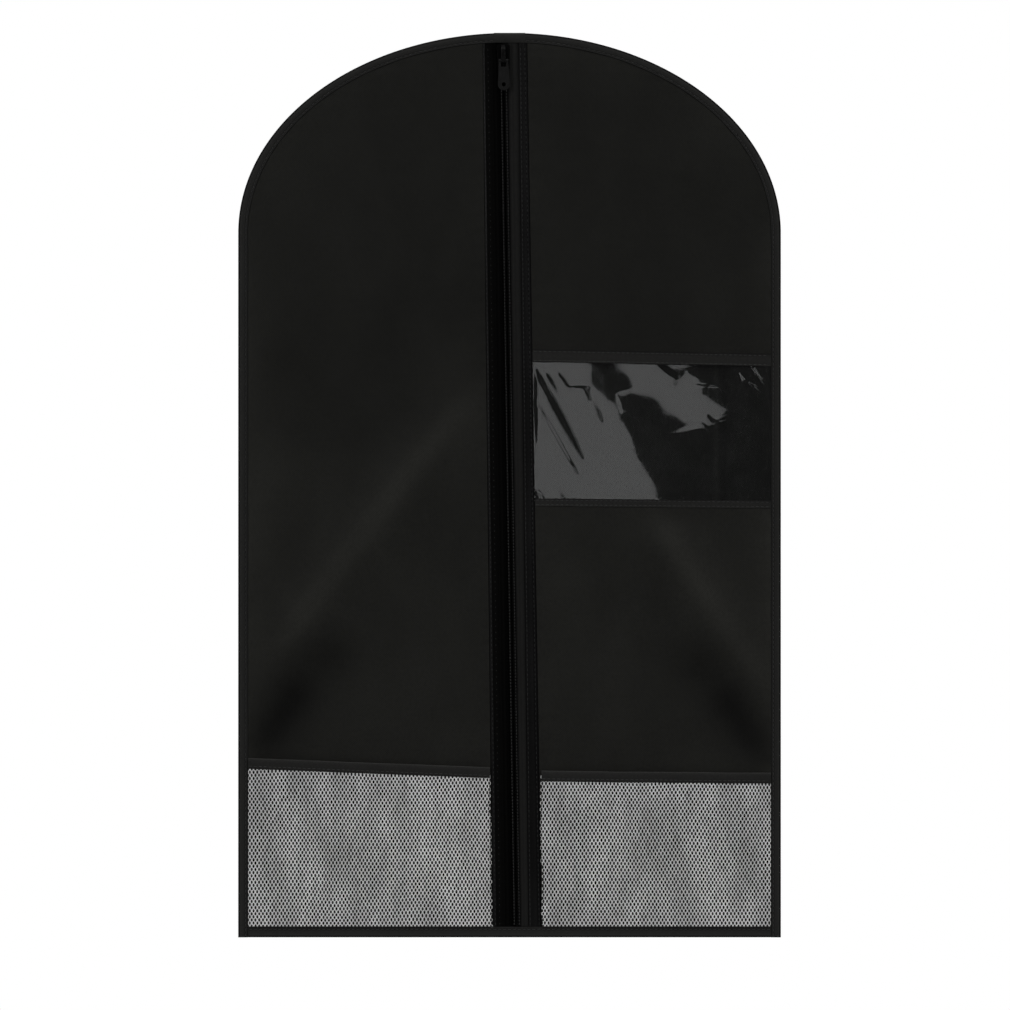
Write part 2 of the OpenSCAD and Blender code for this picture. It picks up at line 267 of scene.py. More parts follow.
def store_painted_light(obj, values):
    """Store a value from -1 to 1 at each point: painted shade below 0, painted light above."""
    layer = obj.data.attributes.new("painted_light_and_shade", "FLOAT", "POINT")
    layer.data.foreach_set("value", np.asarray(values, float).ravel())


def grid_faces(rows, cols, start=0, flip=False):
    """The four-sided faces of a grid of points."""
    faces = []
    for i in range(rows - 1):
        for j in range(cols - 1):
            a = start + i * cols + j
            quad = (a, a + 1, a + cols + 1, a + cols)
            faces.append(quad[::-1] if flip else quad)
    return faces


def closed_sheet(name, x, y, z, thick, painted_light_and_shade=None):
    """A closed thin sheet. Rows run upward and columns to the right; y is its middle surface."""
    rows, cols = x.shape
    count = rows * cols
    front = np.stack([x, y - thick / 2, z], axis=-1).reshape(-1, 3)
    back = np.stack([x, y + thick / 2, z], axis=-1).reshape(-1, 3)
    faces = grid_faces(rows, cols) + grid_faces(rows, cols, count, True)
    top = (rows - 1) * cols
    for j in range(cols - 1):
        faces.append((count + j, count + j + 1, j + 1, j))
        faces.append((top + j, top + j + 1, count + top + j + 1, count + top + j))
    for i in range(rows - 1):
        a, b = i * cols, (i + 1) * cols
        faces.append((a, b, count + b, count + a))
        a, b = a + cols - 1, b + cols - 1
        faces.append((count + a, count + b, b, a))
    obj = new_object(name, np.vstack([front, back]), faces)
    if painted_light_and_shade is not None:
        store_painted_light(obj, np.tile(painted_light_and_shade.ravel(), 2))
    return obj


def tube_faces(count, around, start=0):
    """The faces of a tube through count rings of points, with flat ends."""
    faces = []
    for i in range(count - 1):
        for j in range(around):
            a = start + i * around + j
            b = start + i * around + (j + 1) % around
            faces.append((a, b, b + around, a + around))
    faces.append(tuple(range(start, start + around))[::-1])
    last = start + (count - 1) * around
    faces.append(tuple(range(last, last + around)))
    return faces


def sweep(name, rings, painted_light_and_shade=None):
    """A tube through closed cross-sections. rings is a (n, m, 3) array."""
    obj = new_object(name, rings.reshape(-1, 3), tube_faces(*rings.shape[:2]), 50)
    make_outward(obj)
    if painted_light_and_shade is not None:
        store_painted_light(obj, painted_light_and_shade)
    return obj


def edit_mesh(mesh, change):
    """Let change(work) edit the mesh."""
    work = bmesh.new()
    work.from_mesh(mesh)
    change(work)
    work.to_mesh(mesh)
    work.free()


def make_outward(obj):
    """Turn every face's front to the outside."""
    edit_mesh(obj.data, lambda work: bmesh.ops.recalc_face_normals(work, faces=work.faces))


CAPSULE_ALONG = [-0.5, -0.3, 0.3, 0.5]              # a stitch's rings, in shares of its length
CAPSULE_WIDE = [0.35, 1.0, 1.0, 0.35]
CAPSULE_DIP = 0.25                                  # its ends go down into the cloth by this
CAPSULE_SIDES = 6
FORWARD = (0, -1, 0)
BACKWARD = (0, 1, 0)


def stitch_rows(name, rows, length, radius, material, out=FORWARD):
    """One piece from rows of short stitches, each a small capsule lying along its row."""
    centres = np.vstack(rows)
    along = np.vstack([np.gradient(points, axis=0) for points in rows])
    along = along / np.linalg.norm(along, axis=1, keepdims=True)
    side = np.cross(along, np.tile(np.asarray(out, float), (len(centres), 1)))
    side = side / np.linalg.norm(side, axis=1, keepdims=True)
    out = np.cross(side, along)
    verts = []
    for place, wide in zip(CAPSULE_ALONG, CAPSULE_WIDE):
        for k in range(CAPSULE_SIDES):
            angle = 2 * math.pi * k / CAPSULE_SIDES
            lift = radius * wide * math.cos(angle) - (CAPSULE_DIP if wide < 1 else 0)
            verts.append(centres + along * length * place + out * lift
                         + side * radius * wide * math.sin(angle))
    verts = np.stack(verts, axis=1)
    faces = []
    for n in range(len(centres)):
        faces += tube_faces(len(CAPSULE_ALONG), CAPSULE_SIDES, n * verts.shape[1])
    obj = new_object(name, verts.reshape(-1, 3), faces, 60)
    make_outward(obj)
    finish_piece(obj, "bag", material)


def row_along(line, shift, y, z_low, z_high, pitch):
    """Stitch centres in an upright row beside a leaning line."""
    z = np.arange(z_low, z_high, pitch)
    return np.stack([line(z) + shift, np.full_like(z, y), z], axis=1)


def row_across(z_of, y_of, x_low, x_high, pitch):
    """Stitch centres in a row from left to right."""
    x = np.arange(x_low, x_high, pitch)
    return np.stack([x, y_of(x, z_of(x)), z_of(x)], axis=1)


# ---- Materials ----

class Graph:
    """A short way to write node trees."""

    def __init__(self, name):
        self.material = bpy.data.materials.new(name)
        self.material.use_nodes = True
        self.tree = self.material.node_tree
        self.tree.nodes.clear()
        self.output = self.tree.nodes.new("ShaderNodeOutputMaterial")
        self.place = self.add("ShaderNodeTexCoord").outputs["Object"]

    def add(self, kind, settings=None, **inputs):
        """A node with these settings, its named inputs set or linked."""
        node = self.tree.nodes.new(kind)
        for key, value in (settings or {}).items():
            setattr(node, key, value)
        for key, value in inputs.items():
            self.put(node.inputs[key.replace("_", " ")], value)
        return node

    def put(self, socket, value):
        """Link another node's output to a socket, or set its value."""
        if isinstance(value, bpy.types.NodeSocket):
            self.tree.links.new(value, socket)
        else:
            socket.default_value = value

    def turned(self, angles, stretch=(1, 1, 1)):
        """The object's own coordinates, turned by angles in degrees and stretched."""
        node = self.add("ShaderNodeMapping", Vector=self.place)
        node.inputs["Rotation"].default_value = [math.radians(a) for a in angles]
        node.inputs["Scale"].default_value = stretch
        return node.outputs["Vector"]

    def waves(self, period_mm, angle, distortion=0.6):
        """Parallel ridges with this period, turned in the X-Z plane."""
        node = self.add("ShaderNodeTexWave", {"wave_type": "BANDS", "bands_direction": "X"},
                        Vector=self.turned((0, angle, 0)), Scale=0.314 / (period_mm * MM),
                        Distortion=distortion, Detail=1.0)
        return node.outputs["Fac"]

    def grain(self, size_mm, detail=2.0, stretch=(1, 1, 1), angles=(0, 0, 0)):
        """Cloudy noise with features about this size."""
        node = self.add("ShaderNodeTexNoise", Vector=self.turned(angles, stretch),
                        Scale=1 / (size_mm * MM), Detail=detail, Roughness=0.55)
        return node.outputs["Fac"]

    def math(self, operation, a, b=0.5):
        """One arithmetic step."""
        node = self.add("ShaderNodeMath", {"operation": operation})
        self.put(node.inputs[0], a)
        self.put(node.inputs[1], b)
        return node.outputs[0]

    def span(self, value, low, high, start=0.0, end=1.0):
        """Map a value from low..high to start..end, clamped."""
        node = self.add("ShaderNodeMapRange", Value=value)
        for key, number in zip(("From Min", "From Max", "To Min", "To Max"),
                               (low, high, start, end)):
            node.inputs[key].default_value = number
        return node.outputs["Result"]

    def blend(self, factor, a, b, kind="MIX"):
        """Two colours mixed, a at factor 0 and b at factor 1."""
        node = self.add("ShaderNodeMix", {"data_type": "RGBA", "blend_type": kind})
        self.put(node.inputs["Factor"], factor)
        self.put(node.inputs["A"], a)
        self.put(node.inputs["B"], b)
        return node.outputs["Result"]

    def two_tone(self, value, low, high, dark, light, warmth=0.0):
        """Grey that goes from dark to light as a value goes from low to high."""
        return self.blend(self.span(value, low, high), grey(dark, warmth), grey(light, warmth))

    def scaled(self, color, factor):
        """A colour times a number."""
        tint = self.add("ShaderNodeCombineColor", Red=factor, Green=factor, Blue=factor)
        return self.blend(1.0, color, tint.outputs["Color"], "MULTIPLY")

    def painted_light_factor(self, dark, light):
        """The stored painted light and shade as a factor: dark at -1, 1 at 0 and light at 1."""
        painted_light_and_shade = self.add("ShaderNodeAttribute", {"attribute_name": "painted_light_and_shade"}).outputs["Fac"]
        below = self.span(painted_light_and_shade, -1.0, 0.0, dark, 1.0)
        above = self.span(painted_light_and_shade, 0.0, 1.0, 1.0, light)
        return self.math("MULTIPLY", below, above)

    def bump(self, height, distance_mm):
        """The surface's direction with this relief on it."""
        node = self.add("ShaderNodeBump", Height=height, Distance=distance_mm * MM, Strength=1.0)
        return node.outputs["Normal"]

    def principled(self, color, roughness, normal, specular):
        """A plain opaque surface."""
        shader = self.add("ShaderNodeBsdfPrincipled", Base_Color=color, Roughness=roughness,
                          Normal=normal, Specular_IOR_Level=specular)
        return shader.outputs["BSDF"]

    def layered(self, factor, under, over):
        """One shader seen through another, all of it over at factor 1."""
        mix = self.add("ShaderNodeMixShader")
        for socket, value in zip(mix.inputs, (factor, under, over)):
            self.put(socket, value)
        return mix.outputs[0]

    def done(self, shader):
        """The finished material."""
        self.tree.links.new(shader, self.output.inputs["Surface"])
        return self.material


def grey(level, warmth=0.0):
    """A neutral colour, or a slightly yellow one with some warmth."""
    return (level, level, level * (1 - warmth), 1)


def cloth_material(name, tone, period=1.5, angles=(38, -38), contrast=0.5, blotch=0.14,
                   specular=0.05, roughness=0.55, relief=0.09, warmth=0.12, dark=0.3, light=1.8):
    """Woven cloth: two crossing sets of threads, thread-to-thread change, soft broad patches and the
    stored painted light and shade.
    """
    g = Graph(name)
    weave = g.math("MAXIMUM", g.waves(period, angles[0]), g.waves(period, angles[1]))
    slub = g.grain(3.5, 3.0)
    patch = g.grain(95, 3.0, (1, 1, 0.55), (0, 35, 0))
    thread = g.two_tone(weave, 0.3, 1.0, tone * (1 - contrast), tone * (1 + contrast * 0.6), warmth)
    varied = g.blend(g.span(slub, 0.3, 0.7, 0.0, 0.6), thread, grey(tone * 1.5, warmth))
    patches = g.span(patch, 0.33, 0.67, 1 - blotch, 1 + blotch)
    # The colour is multiplied by the stored painted light and shade of folds and edges
    color = g.scaled(varied, g.math("MULTIPLY", patches, g.painted_light_factor(dark, light)))
    rough = g.span(slub, 0.2, 0.8, roughness - 0.07, roughness + 0.09)
    normal = g.bump(g.math("ADD", weave, g.math("MULTIPLY", slub, 0.8)), relief)
    return g.done(g.principled(color, rough, normal, specular))


def tape_material(name, tone, period=0.9, specular=0.12, roughness=0.6, relief=0.12,
                  contrast=0.45, painted_light_and_shade=1.1):
    """Ribbed tape: fine cross ribs, a herringbone lean, and the stored painted light and shade, with
    painted highlights on folded edges.
    """
    g = Graph(name)
    ribs = g.waves(period, 90, 0.4)
    lean = g.waves(period * 1.6, 28, 0.8)
    slub = g.grain(2.2, 3.0)
    both = g.math("ADD", g.math("MULTIPLY", ribs, 0.65), g.math("MULTIPLY", lean, 0.35))
    thread = g.two_tone(both, 0.15, 0.95, tone * (1 - contrast), tone * (1 + contrast * 0.7), 0.05)
    dusty = g.blend(g.span(slub, 0.35, 0.75, 0.0, 0.55), thread, grey(tone * 1.45, 0.05))
    # Darkened by the stored painted shade, lightened by the stored painted light
    color = g.scaled(dusty, g.painted_light_factor(0.04, 1 + painted_light_and_shade))
    rough = g.span(slub, 0.2, 0.8, roughness - 0.06, roughness + 0.1)
    normal = g.bump(g.math("ADD", both, g.math("MULTIPLY", slub, 0.7)), relief)
    return g.done(g.principled(color, rough, normal, specular))


def thread_material(name, tone):
    """Twisted sewing thread."""
    g = Graph(name)
    twist = g.waves(0.55, 60, 0.5)
    fuzz = g.grain(0.7, 3.0)
    color = g.two_tone(g.math("MULTIPLY", twist, fuzz), 0.1, 0.6, tone * 0.6, tone * 1.5, 0.02)
    normal = g.bump(twist, 0.08)
    return g.done(g.principled(color, g.span(fuzz, 0.2, 0.8, 0.5, 0.68), normal, 0.3))


def net_material():
    """Warp-knit yarn, lighter on its loops, with painted light and shade of soft folds as streaks
    across the knit.
    """
    g = Graph("net_yarn")
    yarn = g.waves(0.55, 62, 1.2)
    fuzz = g.grain(0.9, 3.0)
    fold_shade_noise = g.grain(26, 2.0, (1, 1, 0.35), (0, 48, 0))
    mottle = g.grain(5, 2.0)
    loops = g.blend(g.span(g.math("MULTIPLY", yarn, fuzz), 0.05, 0.5), (0.29, 0.29, 0.29, 1),
                    (0.6, 0.6, 0.602, 1))
    # Painted light and shade of soft folds, as long streaks
    painted_fold_shade = g.span(fold_shade_noise, 0.3, 0.7, 0.78, 1.2)
    mottles = g.span(mottle, 0.3, 0.7, 0.9, 1.1)
    color = g.scaled(loops, g.math("MULTIPLY", painted_fold_shade, mottles))
    normal = g.bump(g.math("ADD", yarn, fuzz), 0.1)
    return g.done(g.principled(color, g.span(fuzz, 0.2, 0.8, 0.6, 0.8), normal, 0.25))


def coil_material():
    """Nylon monofilament, slightly glossy, with drawn scratches and dull spots."""
    g = Graph("nylon_coil")
    drawn = g.grain(0.8, 2.0, (1, 1, 4))
    dull = g.grain(6, 2.0)
    color = g.two_tone(drawn, 0.3, 0.7, 0.0005, 0.0018)
    rough = g.span(dull, 0.3, 0.7, 0.42, 0.55)
    return g.done(g.principled(color, rough, g.bump(drawn, 0.03), 0.05))


def metal_material(name, tone, highlight_tone, specular):
    """Satin black lacquer over cast metal: orange peel, fine scratches, and edges painted greyer and
    lighter as highlights.
    """
    g = Graph(name)
    peel = g.grain(1.1, 2.0)
    scratch = g.grain(0.5, 3.0, (1, 1, 0.06), (0, 12, 0))
    rub_and_painted_light = g.grain(4.5, 3.0)
    painted_light_and_shade = g.add("ShaderNodeAttribute", {"attribute_name": "painted_light_and_shade"}).outputs["Fac"]
    painted_rim_highlight = g.math("MULTIPLY", painted_light_and_shade, g.span(rub_and_painted_light, 0.3, 0.65, 0.2, 1.0))
    base = g.blend(g.span(scratch, 0.45, 0.75, 0.0, 0.7), grey(tone), grey(tone * 2.2))
    # Painted highlight along the rims, broken up by random patches
    color = g.blend(painted_rim_highlight, base, grey(highlight_tone))
    rough = g.span(rub_and_painted_light, 0.25, 0.75, 0.36, 0.5)
    normal = g.bump(g.math("ADD", peel, g.math("MULTIPLY", scratch, 0.5)), 0.03)
    return g.done(g.principled(color, rough, normal, specular))


def film_material():
    """Clear vinyl film: see-through, with sharp reflections, a light haze and fine rubs."""
    g = Graph("clear_vinyl")
    rub_and_painted_light = g.grain(1.6, 3.0, (1, 1, 0.15), (0, 40, 0))
    haze = g.grain(30, 3.0)
    normal = g.bump(g.grain(9, 2.0), 0.004)
    clear = g.add("ShaderNodeBsdfTransparent", Color=(0.93, 0.94, 0.94, 1))
    gloss = g.add("ShaderNodeBsdfAnisotropic", Color=(1, 1, 1, 1), Normal=normal,
                  Roughness=g.span(rub_and_painted_light, 0.4, 0.8, 0.02, 0.05))
    fresnel = g.add("ShaderNodeFresnel", IOR=1.5)
    film = g.layered(fresnel.outputs[0], clear.outputs[0], gloss.outputs[0])
    dust = g.add("ShaderNodeBsdfDiffuse", Color=(0.5, 0.5, 0.5, 1), Roughness=0.5)
    dusty = g.span(g.math("MULTIPLY", rub_and_painted_light, haze), 0.2, 0.5, 0.0, 0.008)
    return g.done(g.layered(dusty, film, dust.outputs[0]))


CLOTH = cloth_material("bag_cloth", 0.0061)
PLACKET = cloth_material("placket_cloth", 0.0022, period=1.8, angles=(8, -82), contrast=0.7,
                         blotch=0.3, specular=0.03, warmth=0.0, light=4.0)
BINDING = tape_material("binding_tape", 0.0104, specular=0.05, contrast=0.6)
# One zip tape in two copies: a darker one for the left tape, painted as in shade under the left
# placket, and a lighter one for the right tape, painted as lit
TAPE_SHADED = tape_material("zip_tape_shaded", 0.0008, specular=0.012)
TAPE_LIT = tape_material("zip_tape_lit", 0.0048, specular=0.05, contrast=0.7)
THREAD = thread_material("sewing_thread", 0.013)
THREAD_DARK = thread_material("sewing_thread_dark", 0.0022)
BEAD = thread_material("coil_thread", 0.0135)
THREAD_BACK = thread_material("sewing_thread_back", 0.026)
NET = net_material()
COIL = coil_material()
SLIDER_METAL = metal_material("slider_lacquer", 0.0007, 0.034, 0.02)
TAB_METAL = metal_material("tab_lacquer", 0.0046, 0.019, 0.03)
FILM = film_material()


# ---- Front panels ----

def spaced(start, end, step, fine_start=True):
    """Places from start to end, closer together near the start or the end."""
    length = abs(end - start)
    close = [0, 0.7, 2.0, 4.0, 6.6, 9.8]
    rest = np.arange(13.2, length - step * 0.6, step)
    offsets = np.concatenate([close, rest, [length]])
    if not fine_start:
        offsets = (length - offsets)[::-1]
    return start + np.sign(end - start) * offsets


def arch_top(x, inset):
    """Height of the arch's edge at x, this far inside the outline."""
    inside = np.clip(1 - (x / (HALF - inset)) ** 2, 0, 1)
    return -ARCH + (ARCH - inset) * np.sqrt(inside)


def leaning_grid(x_top, follow, line, low, high, rows):
    """Columns that lean with a line by their share in follow, between two heights."""
    part = np.linspace(0, 1, rows)[:, None]
    z = low[None, :] + part * (high - low)[None, :]
    x = x_top[None, :] + follow[None, :] * (line(z) - line(0))
    return x, z


def front_panel(name, node, x_top, line, low, high, rows):
    """One piece of front cloth, whose inner edge leans with the zip."""
    outer = x_top[0] if x_top[0] < 0 else x_top[-1]
    near = line(0)
    follow = (outer - x_top) / (outer - near)
    x, z = leaning_grid(x_top, follow, line, low, high, rows)
    y = PANEL_MID - front_relief(x, z)
    # The sheet keeps the painted light and shade of its folds
    obj = closed_sheet(name, x, y, z, CLOTH_THICK, fold_light_and_shade(x, z))
    finish_piece(obj, "bag", CLOTH, [node])


def upper_seam(x):
    """Height of the seam over the window."""
    return -357 - 5 * (x - 26) / 263


def lower_seam(x):
    """Height of the seam under the window."""
    return -519 - 2.5 * (x - 28) / 261


def front_panels():
    """The cloth left of the zip, and above and below the window."""
    low = SEAM - HEIGHT
    x = spaced(SEAM - HALF, left_outer(0), 3.5)
    front_panel("front_cloth_left", "front_left_panel", x, left_outer, np.full_like(x, low),
                arch_top(x, SEAM), 262)
    x = spaced(right_outer(0), HALF - SEAM, 3.5, False)
    front_panel("front_cloth_right_upper", "front_right_upper_panel", x, right_outer,
                upper_seam(x), arch_top(x, SEAM), 96)
    front_panel("front_cloth_right_lower", "front_right_lower_panel", x, right_outer,
                np.full_like(x, low), lower_seam(x), 136)


# ---- Back ----

# x0, z0, x1, z1 of the two long folds in the rear sheet
BACK_FOLDS = [(-180, -300, 40, -620), (150, -420, -30, -820)]


def back_depth(x, z):
    """The back's middle surface: a flat border, a slope, a rear sheet and the opening's throat."""
    inset = inset_of(x, z)
    rim = BAND_BACK - 0.9
    share = (inset - 12) / (REAR_INSET - 12)
    slope = rim + (REAR - rim) * np.clip(share, 0, 1)
    rounding = 1.1 * np.exp(-((share - 1) / 0.14) ** 2)
    soft = ease((inset - 20) / 60) * (0.9 * noise(x, z, 90, 21) + 0.35 * noise(x, z, 30, 22))
    for line, width in zip(BACK_FOLDS, (40, 45)):
        soft = soft + fold(x, z, *line, width, -0.9) * ease((inset - 60) / 40)
    pulls = 0.25 * np.sin(z / 3.1 + 3 * noise(x, z, 45, 23))
    pulls = pulls * np.exp(-np.abs(inset - REAR_INSET) / 7)
    depth = slope - rounding - np.abs(soft) * 0.5 + pulls * ease((inset - 14) / 10)
    in_throat = ease((THROAT_HALF + 1.2 - np.abs(x)) / 1.2) * ease((z + 64) / 4)
    return depth + np.maximum(THROAT_BACK - depth, 0) * in_throat


def back_light_and_shade(x, z):
    """Painted highlights along the folds and the seam's crest, painted shade beside the seam, and
    darker random patches.
    """
    past_seam = inset_of(x, z) - REAR_INSET
    folds = sum(fold(x, z, *line, width, 0.9) for line, width in zip(BACK_FOLDS, (46, 50)))
    seam = np.exp(-(past_seam / 2.4) ** 2) - 0.8 * np.exp(-((past_seam + 8) / 4) ** 2)
    return np.clip(folds + seam - 0.4 * noise(x, z, 70, 25) ** 2, -1, 1)


def back_cloth():
    """The whole back as one cloth, with close columns at the walls of the opening's throat."""
    throat = [-18, -17.4, -16.8, -16.2, -15, -12, -8, -4]
    half_row = np.concatenate([spaced(SEAM - HALF, -20, 4.4), throat])
    x_top = np.concatenate([half_row, [0], -half_row[::-1]])
    low = np.full_like(x_top, SEAM - HEIGHT)
    x, z = leaning_grid(x_top, np.zeros_like(x_top), left_outer, low, arch_top(x_top, SEAM), 236)
    # The sheet keeps the painted light and shade of its folds and seam
    obj = closed_sheet("back_cloth", x, back_depth(x, z), z, CLOTH_THICK, back_light_and_shade(x, z))
    finish_piece(obj, "bag", CLOTH,
                 ["back_panel", "back_side_left", "back_side_right", "back_side_bottom",
                  "back_shoulder_left", "back_shoulder_right", "opening_throat"])


def back_seam_stitches():
    """Two rows of topstitching round the rear sheet."""
    rows = []
    for inset in (REAR_INSET - 3, REAR_INSET + 3):
        points = np.array(outline_path(inset, STITCH_PITCH))
        depth = back_depth(points[:, 0], points[:, 1]) + 0.45
        rows.append(np.stack([points[:, 0], depth, points[:, 1]], axis=1))
    stitch_rows("back_seam_stitches", rows, 3.6, 0.42, THREAD_BACK, BACKWARD)


def outline_path(inset, pitch):
    """x and z of points all round the outline at an inset."""
    half = HALF - inset
    sides = np.arange(inset - HEIGHT, -ARCH, pitch)
    angles = np.linspace(math.pi, 0, int(math.pi * (half + ARCH - inset) / 2 / pitch))
    points = [(-half, z) for z in sides]
    points += [(half * math.cos(t), -ARCH + (ARCH - inset) * math.sin(t)) for t in angles]
    points += [(half, z) for z in sides[::-1]]
    points += [(x, inset - HEIGHT) for x in np.arange(half, -half, -pitch)]
    return points


# ---- Bindings ----

# Cross-section of a folded binding: distance from the folded edge, share of its depth from the
# front face (0) to the back face (1), and how much of the stitch groove it takes
BAND_SECTION = [
    (11.0, 0.13, 0), (10.8, 0.04, 0), (10.35, 0.01, 0), (9.8, 0.0, 0), (9.0, 0.02, 0.5),
    (8.3, 0.06, 1), (7.6, 0.02, 0.5), (6.4, -0.02, 0), (4.6, -0.04, 0), (2.8, -0.03, 0),
    (2.0, -0.01, 0), (1.3, 0.03, 0), (0.5, 0.14, 0), (0.08, 0.33, 0), (0.0, 0.52, 0),
    (0.1, 0.72, 0), (0.5, 0.86, 0), (1.3, 0.95, 0), (2.0, 0.98, 0), (3.2, 1.0, 0),
    (7.6, 1.0, 0.3), (8.3, 0.97, 0.7), (9.0, 1.0, 0.3), (9.8, 1.0, 0), (10.35, 0.99, 0),
    (11.0, 0.9, 0), (10.7, 0.81, 0), (5.0, 0.8, 0), (1.2, 0.79, 0), (0.62, 0.65, 0),
    (0.62, 0.35, 0), (1.2, 0.21, 0), (5.0, 0.2, 0), (10.7, 0.2, 0),
]


ARCH_LENGTH = 412                                   # along the arch, from a side to the opening


def band_light_and_shade(distance, stitched):
    """Painted shade along a binding's two edges and in its stitch grooves, and painted highlights on
    two raised lines beside them.
    """
    rub_and_painted_light = 0.3 * math.exp(-((distance - 2.8) / 0.7) ** 2)
    rub_and_painted_light += 0.2 * math.exp(-((distance - 9.8) / 0.4) ** 2)
    outer = 1.4 * float(ease((2.0 - distance) / 0.7))
    inner = 0.75 * float(ease((distance - 9.9) / 0.5))
    return max(-1.0, min(1.0, rub_and_painted_light - outer - inner - stitched))


def band_rings(locate, steps, scale, seed):
    """Rings of a binding. locate(step, inset) gives x and z; scale stretches the section's width."""
    rings = []
    painted_light_and_shade = []
    depth = BAND_BACK - BAND_FRONT
    for n in range(steps):
        wave = math.cos(math.pi * n)                # 1 between two stitches, -1 under one
        wander = 0.22 * float(noise(n * 2.7, 5.0, 26, seed))
        ring = []
        for distance, share, groove in BAND_SECTION:
            inset = distance * scale + wander * (distance / 11) ** 2
            x, z = locate(n, inset)
            y = BAND_FRONT + depth * share
            front = 1 if share < 0.5 else -1
            y += front * groove * 0.1 * (1 + 0.6 * wave)
            y -= front * 0.07 * float(noise(n * 2.7, distance * 3, 9, seed + 1))
            ring.append((x, y, z))
            # Painted shade in the stitch grooves, deeper under each stitch
            painted_light_and_shade.append(band_light_and_shade(distance, groove * (0.6 - 0.4 * wave)))
        rings.append(ring)
    return rings, painted_light_and_shade


def binding_piece(name, rings, painted_light_and_shade, node):
    """A folded tape made from its rings."""
    obj = sweep(name, np.array(rings), painted_light_and_shade)
    finish_piece(obj, "bag", BINDING, [node])


def side_locator(side, spacing):
    """Steps up one side and over the arch to the hanger opening."""
    straight = int(round((HEIGHT - ARCH) / spacing))
    arch_steps = int(round(ARCH_LENGTH / spacing))

    def locate(step, inset):
        """x and z of a step, this far inside the outline."""
        if step <= straight:
            return side * (HALF - inset), -HEIGHT + (HEIGHT - ARCH) * step / straight
        share = (step - straight) / arch_steps
        angle = share * math.acos(OPENING_END / (HALF - inset))
        return (side * (HALF - inset) * math.cos(angle),
                -ARCH + (ARCH - inset) * math.sin(angle))

    return locate, straight + arch_steps + 1


def band_stitches(name, locate, steps, inset):
    """Stitches along a binding, on its front and its back."""
    places = np.array([locate(n, inset) for n in range(1, steps - 1, 2)])
    for face, y, out in (("front", BAND_FRONT - 0.02, FORWARD), ("back", BAND_BACK + 0.02, BACKWARD)):
        row = np.stack([places[:, 0], np.full(len(places), y), places[:, 1]], axis=1)
        stitch_rows(f"{name}_stitches_{face}", [row], 3.6, 0.33, THREAD, out)


def edge_bindings():
    """The bindings over both sides and their halves of the arch."""
    for side, word, cloth in ((-1, "left", "front_cloth_left"),
                              (1, "right", "front_cloth_right_lower")):
        locate, steps = side_locator(side, STITCH_PITCH / 2)
        rings, painted_light_and_shade = band_rings(locate, steps, 1.0, 31 + side)
        binding_piece(f"edge_band_{word}", rings, painted_light_and_shade, f"edge_binding_{word}")
        band_stitches(f"edge_band_{word}", locate, steps, 8.3)


def bottom_band():
    """The binding over the bottom edge, between the two sides."""
    reach = HALF - EDGE_BAND
    steps = int(round(2 * reach / (STITCH_PITCH / 2))) + 1

    def locate(step, inset):
        """x and z of a step from left to right."""
        return -reach + 2 * reach * step / (steps - 1), inset - HEIGHT

    rings, painted_light_and_shade = band_rings(locate, steps, BOTTOM_BAND / EDGE_BAND, 41)
    binding_piece("bottom_band", rings, painted_light_and_shade, "bottom_binding")
    band_stitches("bottom_band", locate, steps, 9.0)


# y against z of the tape over the opening's front edge, and side against z of the one at its back
FRONT_LIP = [(-11, -6.7), (-10.6, -6.95), (-6, -7.0), (-2, -6.95), (-0.5, -6.6), (0, -5.9),
             (-0.3, -5.2), (-1, -4.75), (-6, -4.65), (-10.8, -4.65), (-11, -4.85),
             (-10.7, -5.0), (-1.2, -5.15), (-0.9, -5.8), (-1.3, -6.35), (-10.8, -6.4)]
BACK_LIP = [(0.45, -11), (0.5, -6), (0.48, -1.2), (0.3, -0.3), (0, 0), (-0.35, -0.3),
            (-0.5, -1.2), (-0.55, -6), (-0.5, -11)]


def throat_plan():
    """x and y round the throat's left wall, left corner, back, right corner and right wall."""
    wall = 0.3 - OPENING_END
    corner = wall + 2
    plan = [(wall, -4.3), (wall, 0), (wall, 3.8)]
    for k in range(1, 8):
        angle = math.pi - k * math.pi / 16
        plan.append((corner + 2 * math.cos(angle), 3.8 + 2 * math.sin(angle)))
    plan.append((corner, 5.8))
    plan += [(x, 5.8) for x in np.linspace(-11, 0, 6)]
    plan += [(-x, y) for x, y in plan[-2::-1]]
    return np.array(plan)


def opening_bands():
    """The two bound edges of the hanger opening."""
    xs = np.linspace(-OPENING_END, OPENING_END, 27)
    rings = [[(x, y + 0.06 * math.sin(1.3 * x), z) for z, y in FRONT_LIP] for x in xs]
    # Painted highlight along the folded top edge
    painted_light_and_shade = [math.exp(-((z + 0.5) / 1.2) ** 2) for z, _ in FRONT_LIP] * len(xs)
    binding_piece("opening_band_front", rings, painted_light_and_shade, "opening_binding_front")
    plan = throat_plan()
    steps = np.gradient(plan, axis=0)
    normals = np.stack([-steps[:, 1], steps[:, 0]], axis=1)
    normals /= np.linalg.norm(normals, axis=1, keepdims=True)
    rings = [[(p[0] + out * n[0], p[1] + out * n[1], z) for out, z in BACK_LIP]
             for p, n in zip(plan, normals)]
    # Painted highlight along the folded top edge
    painted_light_and_shade = [math.exp(-(z / 1.2) ** 2) for _, z in BACK_LIP] * len(plan)
    binding_piece("opening_band_back", rings, painted_light_and_shade, "opening_binding_back")


# ---- Window ----

